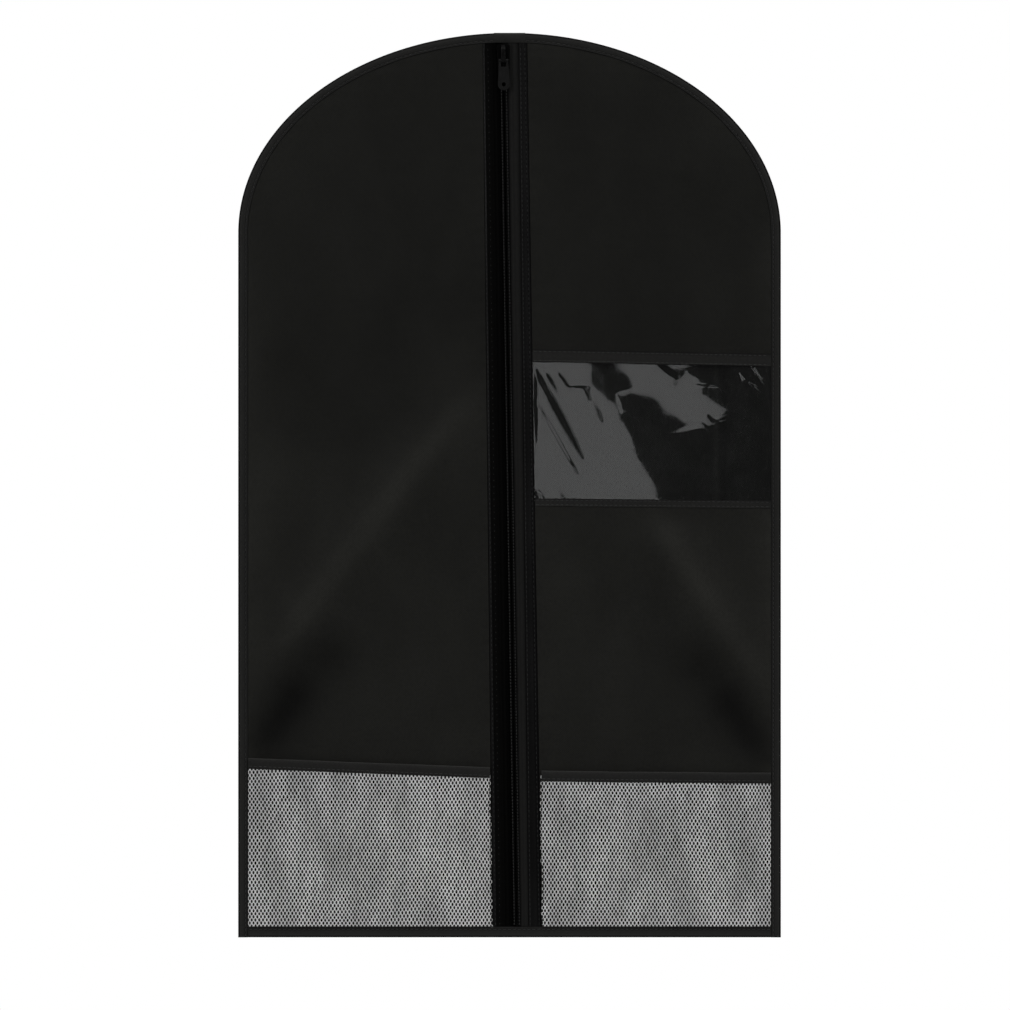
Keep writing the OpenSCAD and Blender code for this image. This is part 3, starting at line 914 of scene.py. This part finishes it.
# x0, z0, x1, z1, half width and slope of the creases in the film
FILM_CREASES = [
    (26, -368, 82, -472, 5.8, 0.09), (25, -398, 77, -490, 3.2, 0.09),
    (41, -376, 53, -397, 2.2, 0.085), (54, -376, 68, -395, 2.0, 0.08),
    (65, -391, 88, -392, 1.4, 0.075), (82, -393, 90, -406, 1.8, 0.07),
    (95, -412, 103, -431, 2.2, 0.06), (118, -398, 124, -420, 1.6, -0.05),
    (24, -497, 39, -515, 3.0, 0.09), (54, -506, 63, -519, 2.6, 0.09),
    (160, -362, 186, -382, 3.6, 0.035), (196, -372, 222, -386, 2.2, 0.03),
    (204, -388, 232, -392, 1.8, -0.03), (212, -432, 219, -422, 1.6, 0.03),
    (266, -366, 287, -394, 2.4, -0.085), (258, -386, 288, -372, 2.2, -0.08),
    (264, -386, 289, -406, 2.4, -0.08), (150, -450, 280, -415, 3.0, 0.012),
]


def film_crease(x, z, x0, z0, x1, z1, half_width, slope):
    """A lens-shaped crease: the film climbs slowly up to it and falls away across it."""
    along, across = along_and_across(x, z, x0, z0, x1, z1)
    along = np.clip(along, 0, 1)
    across = across * -math.copysign(1, slope)
    lens = (4 * along * (1 - along)) ** 0.6
    half = half_width * lens + 0.15
    fall = 1 - ease((across / half + 1) / 2)
    climb = np.exp(np.minimum(across + half, 0) / 16)
    return 2 * half_width * lens * abs(slope) * np.where(across < -half, climb, fall)


def film_relief(x, z):
    """Slow waves and soft creases, calm along the sewn edges."""
    sides = np.minimum(x - right_outer(z), WINDOW_SIDE - x)
    ends = np.minimum(-z - 360, z + 523)
    waves = 0.12 * noise(x, z, 70, 51) + 0.03 * noise(x - z, x + z, 22, 52)
    creases = sum(film_crease(x, z, *one) for one in FILM_CREASES)
    near_edge = np.minimum(sides, ends)
    return waves * ease(near_edge / 16) + creases * ease(near_edge / 5)


def window():
    """The clear film, on a grid fine enough for its creases."""
    start, end = right_outer(0), WINDOW_SIDE + 0.2
    x_top = np.arange(start, end, 1.15)
    x_top[-1] = end
    follow = (end - x_top) / (end - start)
    x, z = leaning_grid(x_top, follow, right_outer, lower_seam(x_top), upper_seam(x_top), 142)
    obj = closed_sheet("clear_window", x, FILM_MID - film_relief(x, z), z, FILM_THICK)
    finish_piece(obj, "bag", FILM, ["window_film"])


def hem(name, node, top_at, low_at, rows_at, seed):
    """A sewn-on strip with rounded, slightly wandering edges and its rows of stitches."""
    across = np.array([0, 0.03, 0.09, 0.2, 0.35, 0.5, 0.65, 0.8, 0.91, 0.97, 1])
    swell = np.array([-0.32, -0.05, 0.08, 0.04, 0.1, 0.12, 0.1, 0.04, 0.08, -0.05, -0.32])
    start = right_outer((top_at(0) + low_at(0)) / 2)
    x_row = start + (WINDOW_SIDE - start) * np.arange(0, 1.0001, 1 / 150)
    x = np.tile(x_row, (len(across), 1))
    low = low_at(x_row) + 0.3 * noise(x_row, x_row * 0, 20, seed)
    high = top_at(x_row) + 0.3 * noise(x_row, x_row * 0 + 9, 24, seed)
    z = low[None, :] + across[:, None] * (high - low)[None, :]
    ripple = 0.1 * np.sin(x * 2 * math.pi / STITCH_PITCH) * (np.abs(across - 0.5) < 0.48)[:, None]
    y = HEM_MID - swell[:, None] - ripple - 0.12 * noise(x, z, 14, seed + 1)
    # Painted highlight along the lower fold, painted shade along the top and at both edges
    rub_and_painted_light = 0.35 * np.exp(-((across - 0.09) / 0.06) ** 2) - 0.3 * np.exp(-((1 - across) / 0.2) ** 2)
    rub_and_painted_light = rub_and_painted_light - 1.2 * np.exp(-np.minimum(across, 1 - across) / 0.03)
    obj = closed_sheet(name, x, y, z, STRIP_THICK, np.repeat(rub_and_painted_light, x.shape[1]))
    finish_piece(obj, "bag", BINDING, [node])
    rows = [row_across(lambda x, s=share: low_at(x) + s * (top_at(x) - low_at(x)),
                       lambda x, z: np.full_like(x, HEM_MID - 0.4),
                       float(x_row[0]) + 3, WINDOW_SIDE - 2, STITCH_PITCH) for share in rows_at]
    stitch_rows(f"{name}_stitches", rows, 3.5, 0.3, THREAD)


def window_hems():
    """The strips over the film's top and bottom edges, leaning down towards the side."""
    def slant(at_zip, drop):
        """A line that falls by drop from the zip to the side."""
        return lambda x: at_zip - drop * (x - 25) / 264

    hem("window_hem_top", "window_top_hem", slant(-350, 5), slant(-364, 5), (0.14, 0.86), 61)
    hem("window_hem_bottom", "window_bottom_hem", slant(-514.5, 2.5), slant(-523.5, 2.5),
        (0.22, 0.78), 63)


# ---- Plackets and zip tapes ----

STRIP_TOP = -2.4                                    # the strips end just under the top binding


def strip(name, node, line0, line1, y_mid, thick, profile, material, seed,
          fade=0.0):
    """A long upright strip between two leaning lines.

    profile holds each column's share of the width, its forward place and its painted light and shade.
    These are lowered towards the bottom by the share in fade.
    """
    z_row = np.arange(SEAM - HEIGHT, STRIP_TOP, 2.7)
    z_row[-1] = STRIP_TOP
    shares, forward, rub_and_painted_light = np.array(profile, float).T
    z = np.tile(z_row[:, None], (1, len(shares)))
    x0, x1 = line0(z), line1(z)
    x = x0 + (x1 - x0) * shares[None, :]
    wander = 0.25 * noise(z, z * 0 + 2, 38, seed) * (1 - 2 * np.abs(shares - 0.5))[None, :]
    gather = 0.07 * np.sin(z * 2 * math.pi / STITCH_PITCH)
    y = y_mid - forward[None, :] - gather - 0.06 * noise(x, z, 7, seed + 1)
    painted_light_and_shade = np.clip(rub_and_painted_light[None, :] - fade * (-z / HEIGHT), -1, 1)
    obj = closed_sheet(name, x + wander, y, z, thick, painted_light_and_shade)
    finish_piece(obj, "bag", material, [node])


# Columns: share of the width, forward place, then painted light above 0 and painted shade below 0, as
# highlights on folded edges and raised ribs and shade in dips and at edges
PLACKET_LEFT = [(0, -0.5, -1), (0.12, 0.0, -1), (0.26, 0.3, 0.8), (0.55, 0.35, 0.9),
                (0.85, 0.2, 0.8), (1, -0.3, 0)]
PLACKET_RIGHT = [(0, -0.3, -1), (0.05, 0.12, -0.3), (0.12, 0.24, 0.6), (0.19, 0.0, 0.1),
                 (0.27, 0.2, 0), (0.45, 0.35, 0.1), (0.62, 0.3, 0.2), (0.72, 0.05, -0.6),
                 (0.82, 0.22, 0.4), (0.9, 0.05, -0.9), (0.95, -0.3, -1), (1, -0.5, -1)]
TAPE_LEFT_RIBS = [(0, 0, 0), (0.1, 0.05, 0), (0.34, 0.05, 1), (0.4, 0.05, 1), (0.52, 0.05, 0),
                  (0.56, 0.2, 0.6), (0.6, 0.02, -0.6), (0.66, 0.05, 0), (0.7, 0.2, 0.6),
                  (0.74, 0.02, -0.6), (0.86, 0.05, -0.8), (1, 0, -1)]
TAPE_RIGHT_RIBS = [(0, 0, -1), (0.16, 0.02, -1), (0.22, 0.1, -0.2), (0.3, 0.22, 0.4),
                   (0.38, 0.1, 0), (0.46, 0.22, 0.4), (0.55, 0.05, 0.1), (0.62, 0.05, -0.5),
                   (0.7, 0, -1), (1, 0, 0)]


def zip_sides():
    """The plackets' edges, and the zip tapes that run on under them."""
    strip("placket_edge_left", "placket_left", left_outer, left_inner, PANEL_MID, STRIP_THICK,
          PLACKET_LEFT, PLACKET, 71, 0.75)
    strip("placket_edge_right", "placket_right", right_inner, right_outer, PANEL_MID, STRIP_THICK,
          PLACKET_RIGHT, PLACKET, 73)
    strip("zip_tape_web_left", "zip_tape_left", lambda z: left_inner(z) - 8,
          lambda z: zip_middle(z) - 0.5, TAPE_MID, TAPE_THICK, TAPE_LEFT_RIBS, TAPE_SHADED,
          75)
    strip("zip_tape_web_right", "zip_tape_right", lambda z: zip_middle(z) + 0.5,
          lambda z: right_inner(z) + 8, TAPE_MID, TAPE_THICK, TAPE_RIGHT_RIBS, TAPE_LIT,
          77)


def zip_side_stitches():
    """The rows on the plackets and the one in the left tape."""
    low, high = -985, -14
    rows = [row_along(right_inner, 2.0, PANEL_MID - 0.45, low, high, STITCH_PITCH),
            row_along(right_outer, -3.0, PANEL_MID - 0.5, low, high, STITCH_PITCH),
            row_along(left_inner, -1.4, PANEL_MID - 0.55, low, high, STITCH_PITCH)]
    stitch_rows("placket_stitches", rows, 3.2, 0.3, THREAD_DARK)
    rows = [row_along(left_inner, 3.4, TAPE_MID - 0.3, low, high, 7.0)]
    stitch_rows("zip_tape_stitches", rows, 1.6, 0.28, THREAD_DARK)


# ---- Zip chain ----

ZIP_TILT = math.atan((zip_middle(-HEIGHT) - zip_middle(0)) / HEIGHT)
COIL_PITCH = 1.75
BEAD_PITCH = 3.5


def on_zip(points):
    """From the zip's own frame, whose Z axis runs along the chain, to the bag's frame."""
    points = np.asarray(points, float)
    turned = points.copy()
    turned[..., 0] = points[..., 0] * math.cos(ZIP_TILT) - points[..., 2] * math.sin(ZIP_TILT)
    turned[..., 2] = points[..., 0] * math.sin(ZIP_TILT) + points[..., 2] * math.cos(ZIP_TILT)
    turned[..., 0] += zip_middle(0)
    return turned


def coil_half(side, word):
    """One nylon filament wound along its tape, flattened where it lies on the tape."""
    per_turn, wire, sides = 10, 0.36, 5
    top, bottom = -12.6, -986.4
    turns = (top - bottom) / COIL_PITCH
    angle = np.arange(0, turns * 2 * math.pi, 2 * math.pi / per_turn)
    shape = np.sign(np.cos(angle)) * np.abs(np.cos(angle)) ** 0.7
    x = side * (2.25 - 1.42 * shape)
    y = (COIL_FRONT + 1.2) + 0.82 * np.sin(angle)
    z = top - COIL_PITCH * angle / (2 * math.pi) - (COIL_PITCH / 2 if side > 0 else 0)
    line = np.stack([x, y, z], axis=1)
    forward = np.gradient(line, axis=0)
    forward /= np.linalg.norm(forward, axis=1, keepdims=True)
    upright = np.tile([0.0, 0.0, 1.0], (len(line), 1))
    first = np.cross(forward, upright)
    first /= np.linalg.norm(first, axis=1, keepdims=True)
    second = np.cross(first, forward)
    rings = []
    for k in range(sides):
        turn = 2 * math.pi * k / sides
        rings.append(line + wire * (math.cos(turn) * first + math.sin(turn) * second))
    obj = sweep(f"coil_{word}", on_zip(np.stack(rings, axis=1)))
    finish_piece(obj, "bag", COIL, [f"zip_coil_{word}"])


def coil_threads():
    """The sewn rows that hold each coil half to its tape."""
    rows = []
    for x in (-2.8, 2.8):
        z = np.arange(-985, -14, BEAD_PITCH)
        y = np.full_like(z, COIL_FRONT + 0.02)
        rows.append(on_zip(np.stack([np.full_like(z, x), y, z], axis=1)))
    stitch_rows("coil_threads", rows, 1.9, 0.6, BEAD)


# ---- Slider and pull tab ----

SLICE = 0.9                                         # between the planes that cut the metal's flats


def soften(node, name, body, width, material, lit_from):
    """A copy of a CAD node's mesh with its edges rounded over, and painted lighter along them as
    highlights.

    Only what stands further forward than lit_from gets the painted highlight.
    """
    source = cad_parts[node]
    work = bmesh.new()
    work.from_mesh(source.data)
    bmesh.ops.remove_doubles(work, verts=work.verts, dist=2e-6)
    bmesh.ops.dissolve_limit(work, angle_limit=math.radians(1), verts=work.verts, edges=work.edges)
    mesh = bpy.data.meshes.new(name)
    work.to_mesh(mesh)
    work.free()
    obj = placed(name, mesh)
    modifier = obj.modifiers.new("round", "BEVEL")
    modifier.width = width * MM
    modifier.segments = 3
    modifier.limit_method = "ANGLE"
    modifier.angle_limit = math.radians(32)
    modifier.use_clamp_overlap = True
    modifier.harden_normals = True
    evaluated = obj.evaluated_get(bpy.context.evaluated_depsgraph_get())
    obj.data = bpy.data.meshes.new_from_object(evaluated)
    obj.modifiers.clear()
    obj.data.name = name
    edit_mesh(obj.data, slice_up)
    obj.data.shade_smooth()
    obj.data.set_sharp_from_angle(angle=math.radians(50))
    store_painted_light(obj, rim_highlight_values(obj.data, lit_from * MM))
    finish_piece(obj, body, material, [node])


def slice_up(work):
    """Cut a mesh by upright and level planes, so that its flats have points inside their rims."""
    step = SLICE * MM
    for axis, normal in ((0, (1, 0, 0)), (2, (0, 0, 1))):
        places = [v.co[axis] for v in work.verts]
        for place in np.arange(min(places) + step / 2, max(places), step):
            parts = work.verts[:] + work.edges[:] + work.faces[:]
            point = [place * n for n in normal]
            bmesh.ops.bisect_plane(work, geom=parts, dist=1e-6, plane_co=point, plane_no=normal)


def rim_highlight_values(mesh, lit_from):
    """Painted highlight share: 1 at forward points whose faces meet at an angle, 0.1 on forward flat
    faces, 0 behind.
    """
    normals = [[] for _ in mesh.vertices]
    for face in mesh.polygons:
        for index in face.vertices:
            normals[index].append(face.normal)
    values = []
    for vertex, group in zip(mesh.vertices, normals):
        spread = min(a.dot(b) for a in group for b in group) if group else 1
        forward = vertex.co.y < lit_from
        values.append(min(1.0, 0.1 + (1 - spread) * 5) if forward else 0.0)
    return values


def metal_parts():
    """The slider, with painted highlights on its bridge only, and the pull tab."""
    bridge = box_mm("slider_body")[0][1] + 2.2
    soften("slider_body", "slider_shell", "slider", 0.28, SLIDER_METAL, bridge)
    soften("pull_tab", "pull_tab_shell", "pull", 0.22, TAB_METAL, bridge + 5)


# ---- Net pockets ----

NET_PITCH = 4.05                                    # between holes in a row
NET_ROW = NET_PITCH * math.sqrt(3) / 2              # between rows
HOLE_WIDE, HOLE_HIGH = 2.35, 3.9
POCKET_MIDDLE = -900
POCKETS = {
    "left": dict(side=-1, outer=-WINDOW_SIDE, outer_top=-801.5, inner_top=-812,
                 line=left_outer, seed=81, cloth="front_cloth_left"),
    "right": dict(side=1, outer=WINDOW_SIDE, outer_top=-818, inner_top=-815.5,
                  line=right_outer, seed=91, cloth="front_cloth_right_lower"),
}


def pocket_top(pocket, x):
    """Height of the pocket's mouth at x."""
    near = pocket["line"](POCKET_MIDDLE)
    share = (x - near) / (pocket["outer"] - near)
    return pocket["inner_top"] + (pocket["outer_top"] - pocket["inner_top"]) * share


def pocket_depth(pocket, x, z):
    """The net's middle surface: sewn down at three sides, slack between them."""
    away = np.minimum(np.abs(pocket["outer"] - x), np.abs(x - pocket["line"](z)))
    away = np.minimum(away, z - POCKET_FLOOR)
    slack = 1 - np.exp(-np.maximum(away, 0) / 20)
    soft = 0.45 * noise(x, z, 48, pocket["seed"]) + 0.2 * noise(x, z, 20, pocket["seed"] + 1)
    return PANEL_MID - 1.5 - (-NET_FRONT - 8.1 + soft) * slack


def net_centres(pocket):
    """x and z of the holes, in rows from the floor up to the mouth."""
    side = pocket["side"]
    i, j = np.meshgrid(np.arange(-4, 74), np.arange(0, 56))
    i, j = i.ravel(), j.ravel()
    cx = pocket["outer"] - side * NET_PITCH * (i + 0.5 * (j % 2))
    cz = POCKET_FLOOR + 0.5 + NET_ROW * j
    keep = (side * (pocket["outer"] - cx) > -1.5) & (side * (cx - pocket["line"](cz)) > 1.2)
    keep &= cz < pocket_top(pocket, cx) - 4
    return cx[keep], cz[keep]


def net_holes(pocket, cx, cz, angles):
    """Points round each hole, which differs a little in size and place from the next."""
    rng = np.random.default_rng(pocket["seed"])
    size = rng.uniform(0.94, 1.04, (len(cx), 1))
    shift_x = rng.uniform(-0.08, 0.08, (len(cx), 1))
    shift_z = rng.uniform(-0.08, 0.08, (len(cx), 1))
    hx = cx[:, None] + shift_x + size * HOLE_WIDE / 2 * np.cos(angles)
    hz = cz[:, None] + shift_z + size * HOLE_HIGH / 2 * np.sin(angles)
    return hx.ravel(), hz.ravel()


def net_warp(pocket, x, z):
    """Pull the even rows of the net slightly out of line, and end them at the sewn edges."""
    side = pocket["side"]
    seed = pocket["seed"]
    wx = x + 1.6 * noise(x, z, 55, seed + 3) * ease(np.abs(pocket["outer"] - x) / 30)
    wz = z + 2.0 * noise(x, z, 48, seed + 4) * ease((z - POCKET_FLOOR) / 20)
    inner = pocket["line"](wz) + side * 0.5 * noise(z, z * 0, 3.5, seed + 5)
    reach = np.clip(side * wx, side * inner, side * pocket["outer"] - 0.2)
    return side * reach, np.maximum(wz, POCKET_FLOOR + 0.2)


def net_faces(index, counts, total):
    """Front and back faces from each six-sided cell's rim to its hole, and walls at the net's ends."""
    hole_index = (2 * total + np.arange(index.size)).reshape(-1, 12)
    faces = []
    for k in range(12):
        m = (k + 1) % 12
        a, b = index[:, k], index[:, m]
        faces.append(np.stack([hole_index[:, k], a, b, hole_index[:, m]], axis=1))
        faces.append(np.stack([hole_index[:, m], b + total, a + total, hole_index[:, k]], axis=1))
        outer_edge = counts[index[:, k if k % 2 == 0 else m]] == 1
        wall = np.stack([b, a, a + total, b + total], axis=1)
        faces.append(wall[outer_edge])
    return np.vstack(faces).tolist()


def pocket_net(word):
    """A net of joined six-sided cells, each with its hole, thickest where three cells meet."""
    pocket = POCKETS[word]
    cx, cz = net_centres(pocket)
    angles = np.radians(np.arange(12) * 30)
    is_corner = np.arange(12) % 2 == 1
    reach = np.where(is_corner, NET_PITCH / math.sqrt(3), NET_PITCH / 2)
    bx = (cx[:, None] + reach * np.cos(angles)).ravel()
    bz = (cz[:, None] + reach * np.sin(angles)).ravel()
    hx, hz = net_holes(pocket, cx, cz, angles)
    keys = np.floor(np.stack([bx, bz], axis=1) * 8 + 0.137).astype(int)
    _, first, index, counts = np.unique(keys, axis=0, return_index=True, return_inverse=True,
                                        return_counts=True)
    corner = np.tile(is_corner, len(cx))[first]
    border = counts < np.where(corner, 3, 2)
    ux, uz = net_warp(pocket, bx[first], bz[first])
    hx, hz = net_warp(pocket, hx, hz)
    yu = pocket_depth(pocket, ux, uz)
    rise = np.where(border, 0.12, np.where(corner, 0.34, 0.23))
    front = np.stack([ux, yu - rise, uz], axis=1)
    back = np.stack([ux, yu + rise, uz], axis=1)
    holes = np.stack([hx, pocket_depth(pocket, hx, hz), hz], axis=1)
    faces = net_faces(index.reshape(-1, 12), counts, len(first))
    obj = new_object(f"pocket_mesh_{word}", np.vstack([front, back, holes]), faces, 75)
    edit_mesh(obj.data, drop_loose)
    finish_piece(obj, "bag", NET, [f"pocket_net_{word}"])
    wide = abs(pocket["outer"] - pocket["line"](POCKET_MIDDLE)) * MM
    high = (pocket_top(pocket, pocket["outer"] / 2) - POCKET_FLOOR) * MM


def drop_loose(work):
    """Delete points that no face uses."""
    loose = [v for v in work.verts if not v.link_faces]
    bmesh.ops.delete(work, geom=loose, context="VERTS")


# Down from the mouth's edge, and forward of the net, of the tape folded over it
MOUTH_SECTION = [
    (0.0, 0.0), (-0.35, -0.55), (-1.4, -0.8), (-4, -0.84), (-6.4, -0.8), (-8.2, -0.82),
    (-9.0, -0.7), (-9.8, -0.82), (-11.2, -0.8), (-11.9, -0.6), (-12.0, -0.4), (-11.7, -0.28),
    (-2, -0.3), (-1.2, 0.0), (-2, 0.3), (-11.7, 0.28), (-12, 0.5), (-11.6, 0.75), (-4, 0.8),
    (-1.3, 0.75), (-0.35, 0.5),
]


def pocket_band(word):
    """The tape folded over the pocket's top edge, following the slack net."""
    pocket = POCKETS[word]
    xs = np.arange(pocket["outer"], pocket["line"](-815), -pocket["side"] * STITCH_PITCH / 2)
    rings = []
    painted_light_and_shade = []
    for n, x in enumerate(xs):
        top = float(pocket_top(pocket, x)) + 0.25 * float(noise(x, 4.0, 30, pocket["seed"]))
        ring = []
        for down, out in MOUTH_SECTION:
            z = top + down
            y = float(pocket_depth(pocket, np.array(x), np.array(z))) + out
            y -= 0.06 * float(noise(x, down * 3, 8, pocket["seed"] + 7))
            y -= 0.07 * math.cos(math.pi * n) * (1 if -9.9 < down < -8 else 0)
            ring.append((x, y, z))
            # Painted highlight along the folded mouth edge, painted shade along the tape's lower edge
            painted_light_and_shade.append(math.exp(down) - 0.7 * float(ease((-11.1 - down) / 0.6)))
        rings.append(ring)
    binding_piece(f"pocket_band_{word}", rings, painted_light_and_shade, f"pocket_binding_{word}")
    low, high = sorted((float(xs[1]), float(xs[-2])))
    row = row_across(lambda x: pocket_top(pocket, x) - 9.0,
                     lambda x, z: pocket_depth(pocket, x, z) - 0.85, low, high, STITCH_PITCH)
    stitch_rows(f"pocket_band_{word}_stitches", [row], 3.6, 0.33, THREAD)


# ---- Studio ----

def area_light(name, place, target, wide, high, radiance, roll=0.0):
    """A soft rectangular light that the camera doesn't see. Its sizes are in metres."""
    data = bpy.data.lights.new(name, "AREA")
    data.shape = "RECTANGLE"
    data.size = wide
    data.size_y = high
    data.energy = radiance * math.pi * wide * high
    obj = placed(name, data)
    obj.location = place
    aim = (Vector(target) - Vector(place)).to_track_quat("-Z", "Y")
    obj.rotation_euler = aim.to_euler()
    obj.rotation_euler.rotate_axis("Z", math.radians(roll))
    obj.visible_camera = False


def studio():
    """Soft lights in front and behind, two cards that the film reflects, and a pale room."""
    scene = bpy.context.scene
    scene.view_settings.view_transform = "Standard"
    middle = (0, 0, -0.5)
    area_light("key_left", (-2.6, -3.4, 0.9), middle, 1.9, 1.9, 8.5)
    area_light("key_right", (2.6, -3.4, 0.7), middle, 1.9, 1.9, 7.5)
    area_light("top", (0, -0.9, 2.4), middle, 1.6, 1.6, 6.0)
    area_light("back_left", (-2.6, 3.2, 0.9), middle, 1.9, 1.9, 9.5)
    area_light("back_right", (2.6, 3.2, 0.9), middle, 1.9, 1.9, 9.5)
    area_light("window_card_left", (0.005, -1.0, -0.44), (0.005, 0, -0.44), 0.26, 0.62, 0.78, 30)
    area_light("window_card_top", (0.187, -1.0, -0.357), (0.187, 0, -0.357), 0.19, 0.042, 0.78, -38)
    world = bpy.data.worlds.new("pale_room")
    scene.world = world
    world.use_nodes = True
    tree = world.node_tree
    tree.nodes.clear()
    path = tree.nodes.new("ShaderNodeLightPath")
    unseen, seen = (tree.nodes.new("ShaderNodeBackground") for _ in range(2))
    unseen.inputs["Color"].default_value = (0.05, 0.05, 0.05, 1)
    seen.inputs["Color"].default_value = (1, 1, 1, 1)
    mix = tree.nodes.new("ShaderNodeMixShader")
    out = tree.nodes.new("ShaderNodeOutputWorld")
    tree.links.new(path.outputs["Is Camera Ray"], mix.inputs[0])
    tree.links.new(unseen.outputs[0], mix.inputs[1])
    tree.links.new(seen.outputs[0], mix.inputs[2])
    tree.links.new(mix.outputs[0], out.inputs["Surface"])


def pale_floor():
    """A plain pale round floor below the hanging bag."""
    count, radius, level = 96, 1000, -1250
    turns = [2 * math.pi * k / count for k in range(count)]
    verts = [(radius * math.cos(turn), radius * math.sin(turn), level) for turn in turns]
    floor = new_object("studio_floor", verts, [tuple(range(count))])
    g = Graph("pale_floor")
    fleck = g.grain(40, 3.0)
    color = g.two_tone(fleck, 0.3, 0.7, 0.78, 0.82)
    shader = g.principled(color, g.span(fleck, 0.3, 0.7, 0.7, 0.8), g.bump(fleck, 0.1), 0.2)
    floor.data.materials.append(g.done(shader))


def camera():
    """A camera straight in front, 6 m away, that takes in 1.1166 m of height."""
    data = bpy.data.cameras.new("front_camera")
    obj = placed("front_camera", data)
    distance, frame_height = 6.0, 1.1166
    data.sensor_width = 36
    data.lens = 36 * (distance - 0.006) / frame_height
    data.dof.use_dof = False
    data.clip_end = 60
    obj.location = (-0.005, -distance, -0.522)
    obj.rotation_euler = (math.radians(90), 0, 0)
    bpy.context.scene.camera = obj


front_panels()
back_cloth()
back_seam_stitches()
window()
window_hems()
zip_sides()
zip_side_stitches()
coil_half(-1, "left")
coil_half(1, "right")
coil_threads()
metal_parts()
edge_bindings()
bottom_band()
opening_bands()
for side_word in POCKETS:
    pocket_band(side_word)
    pocket_net(side_word)
studio()
pale_floor()
camera()
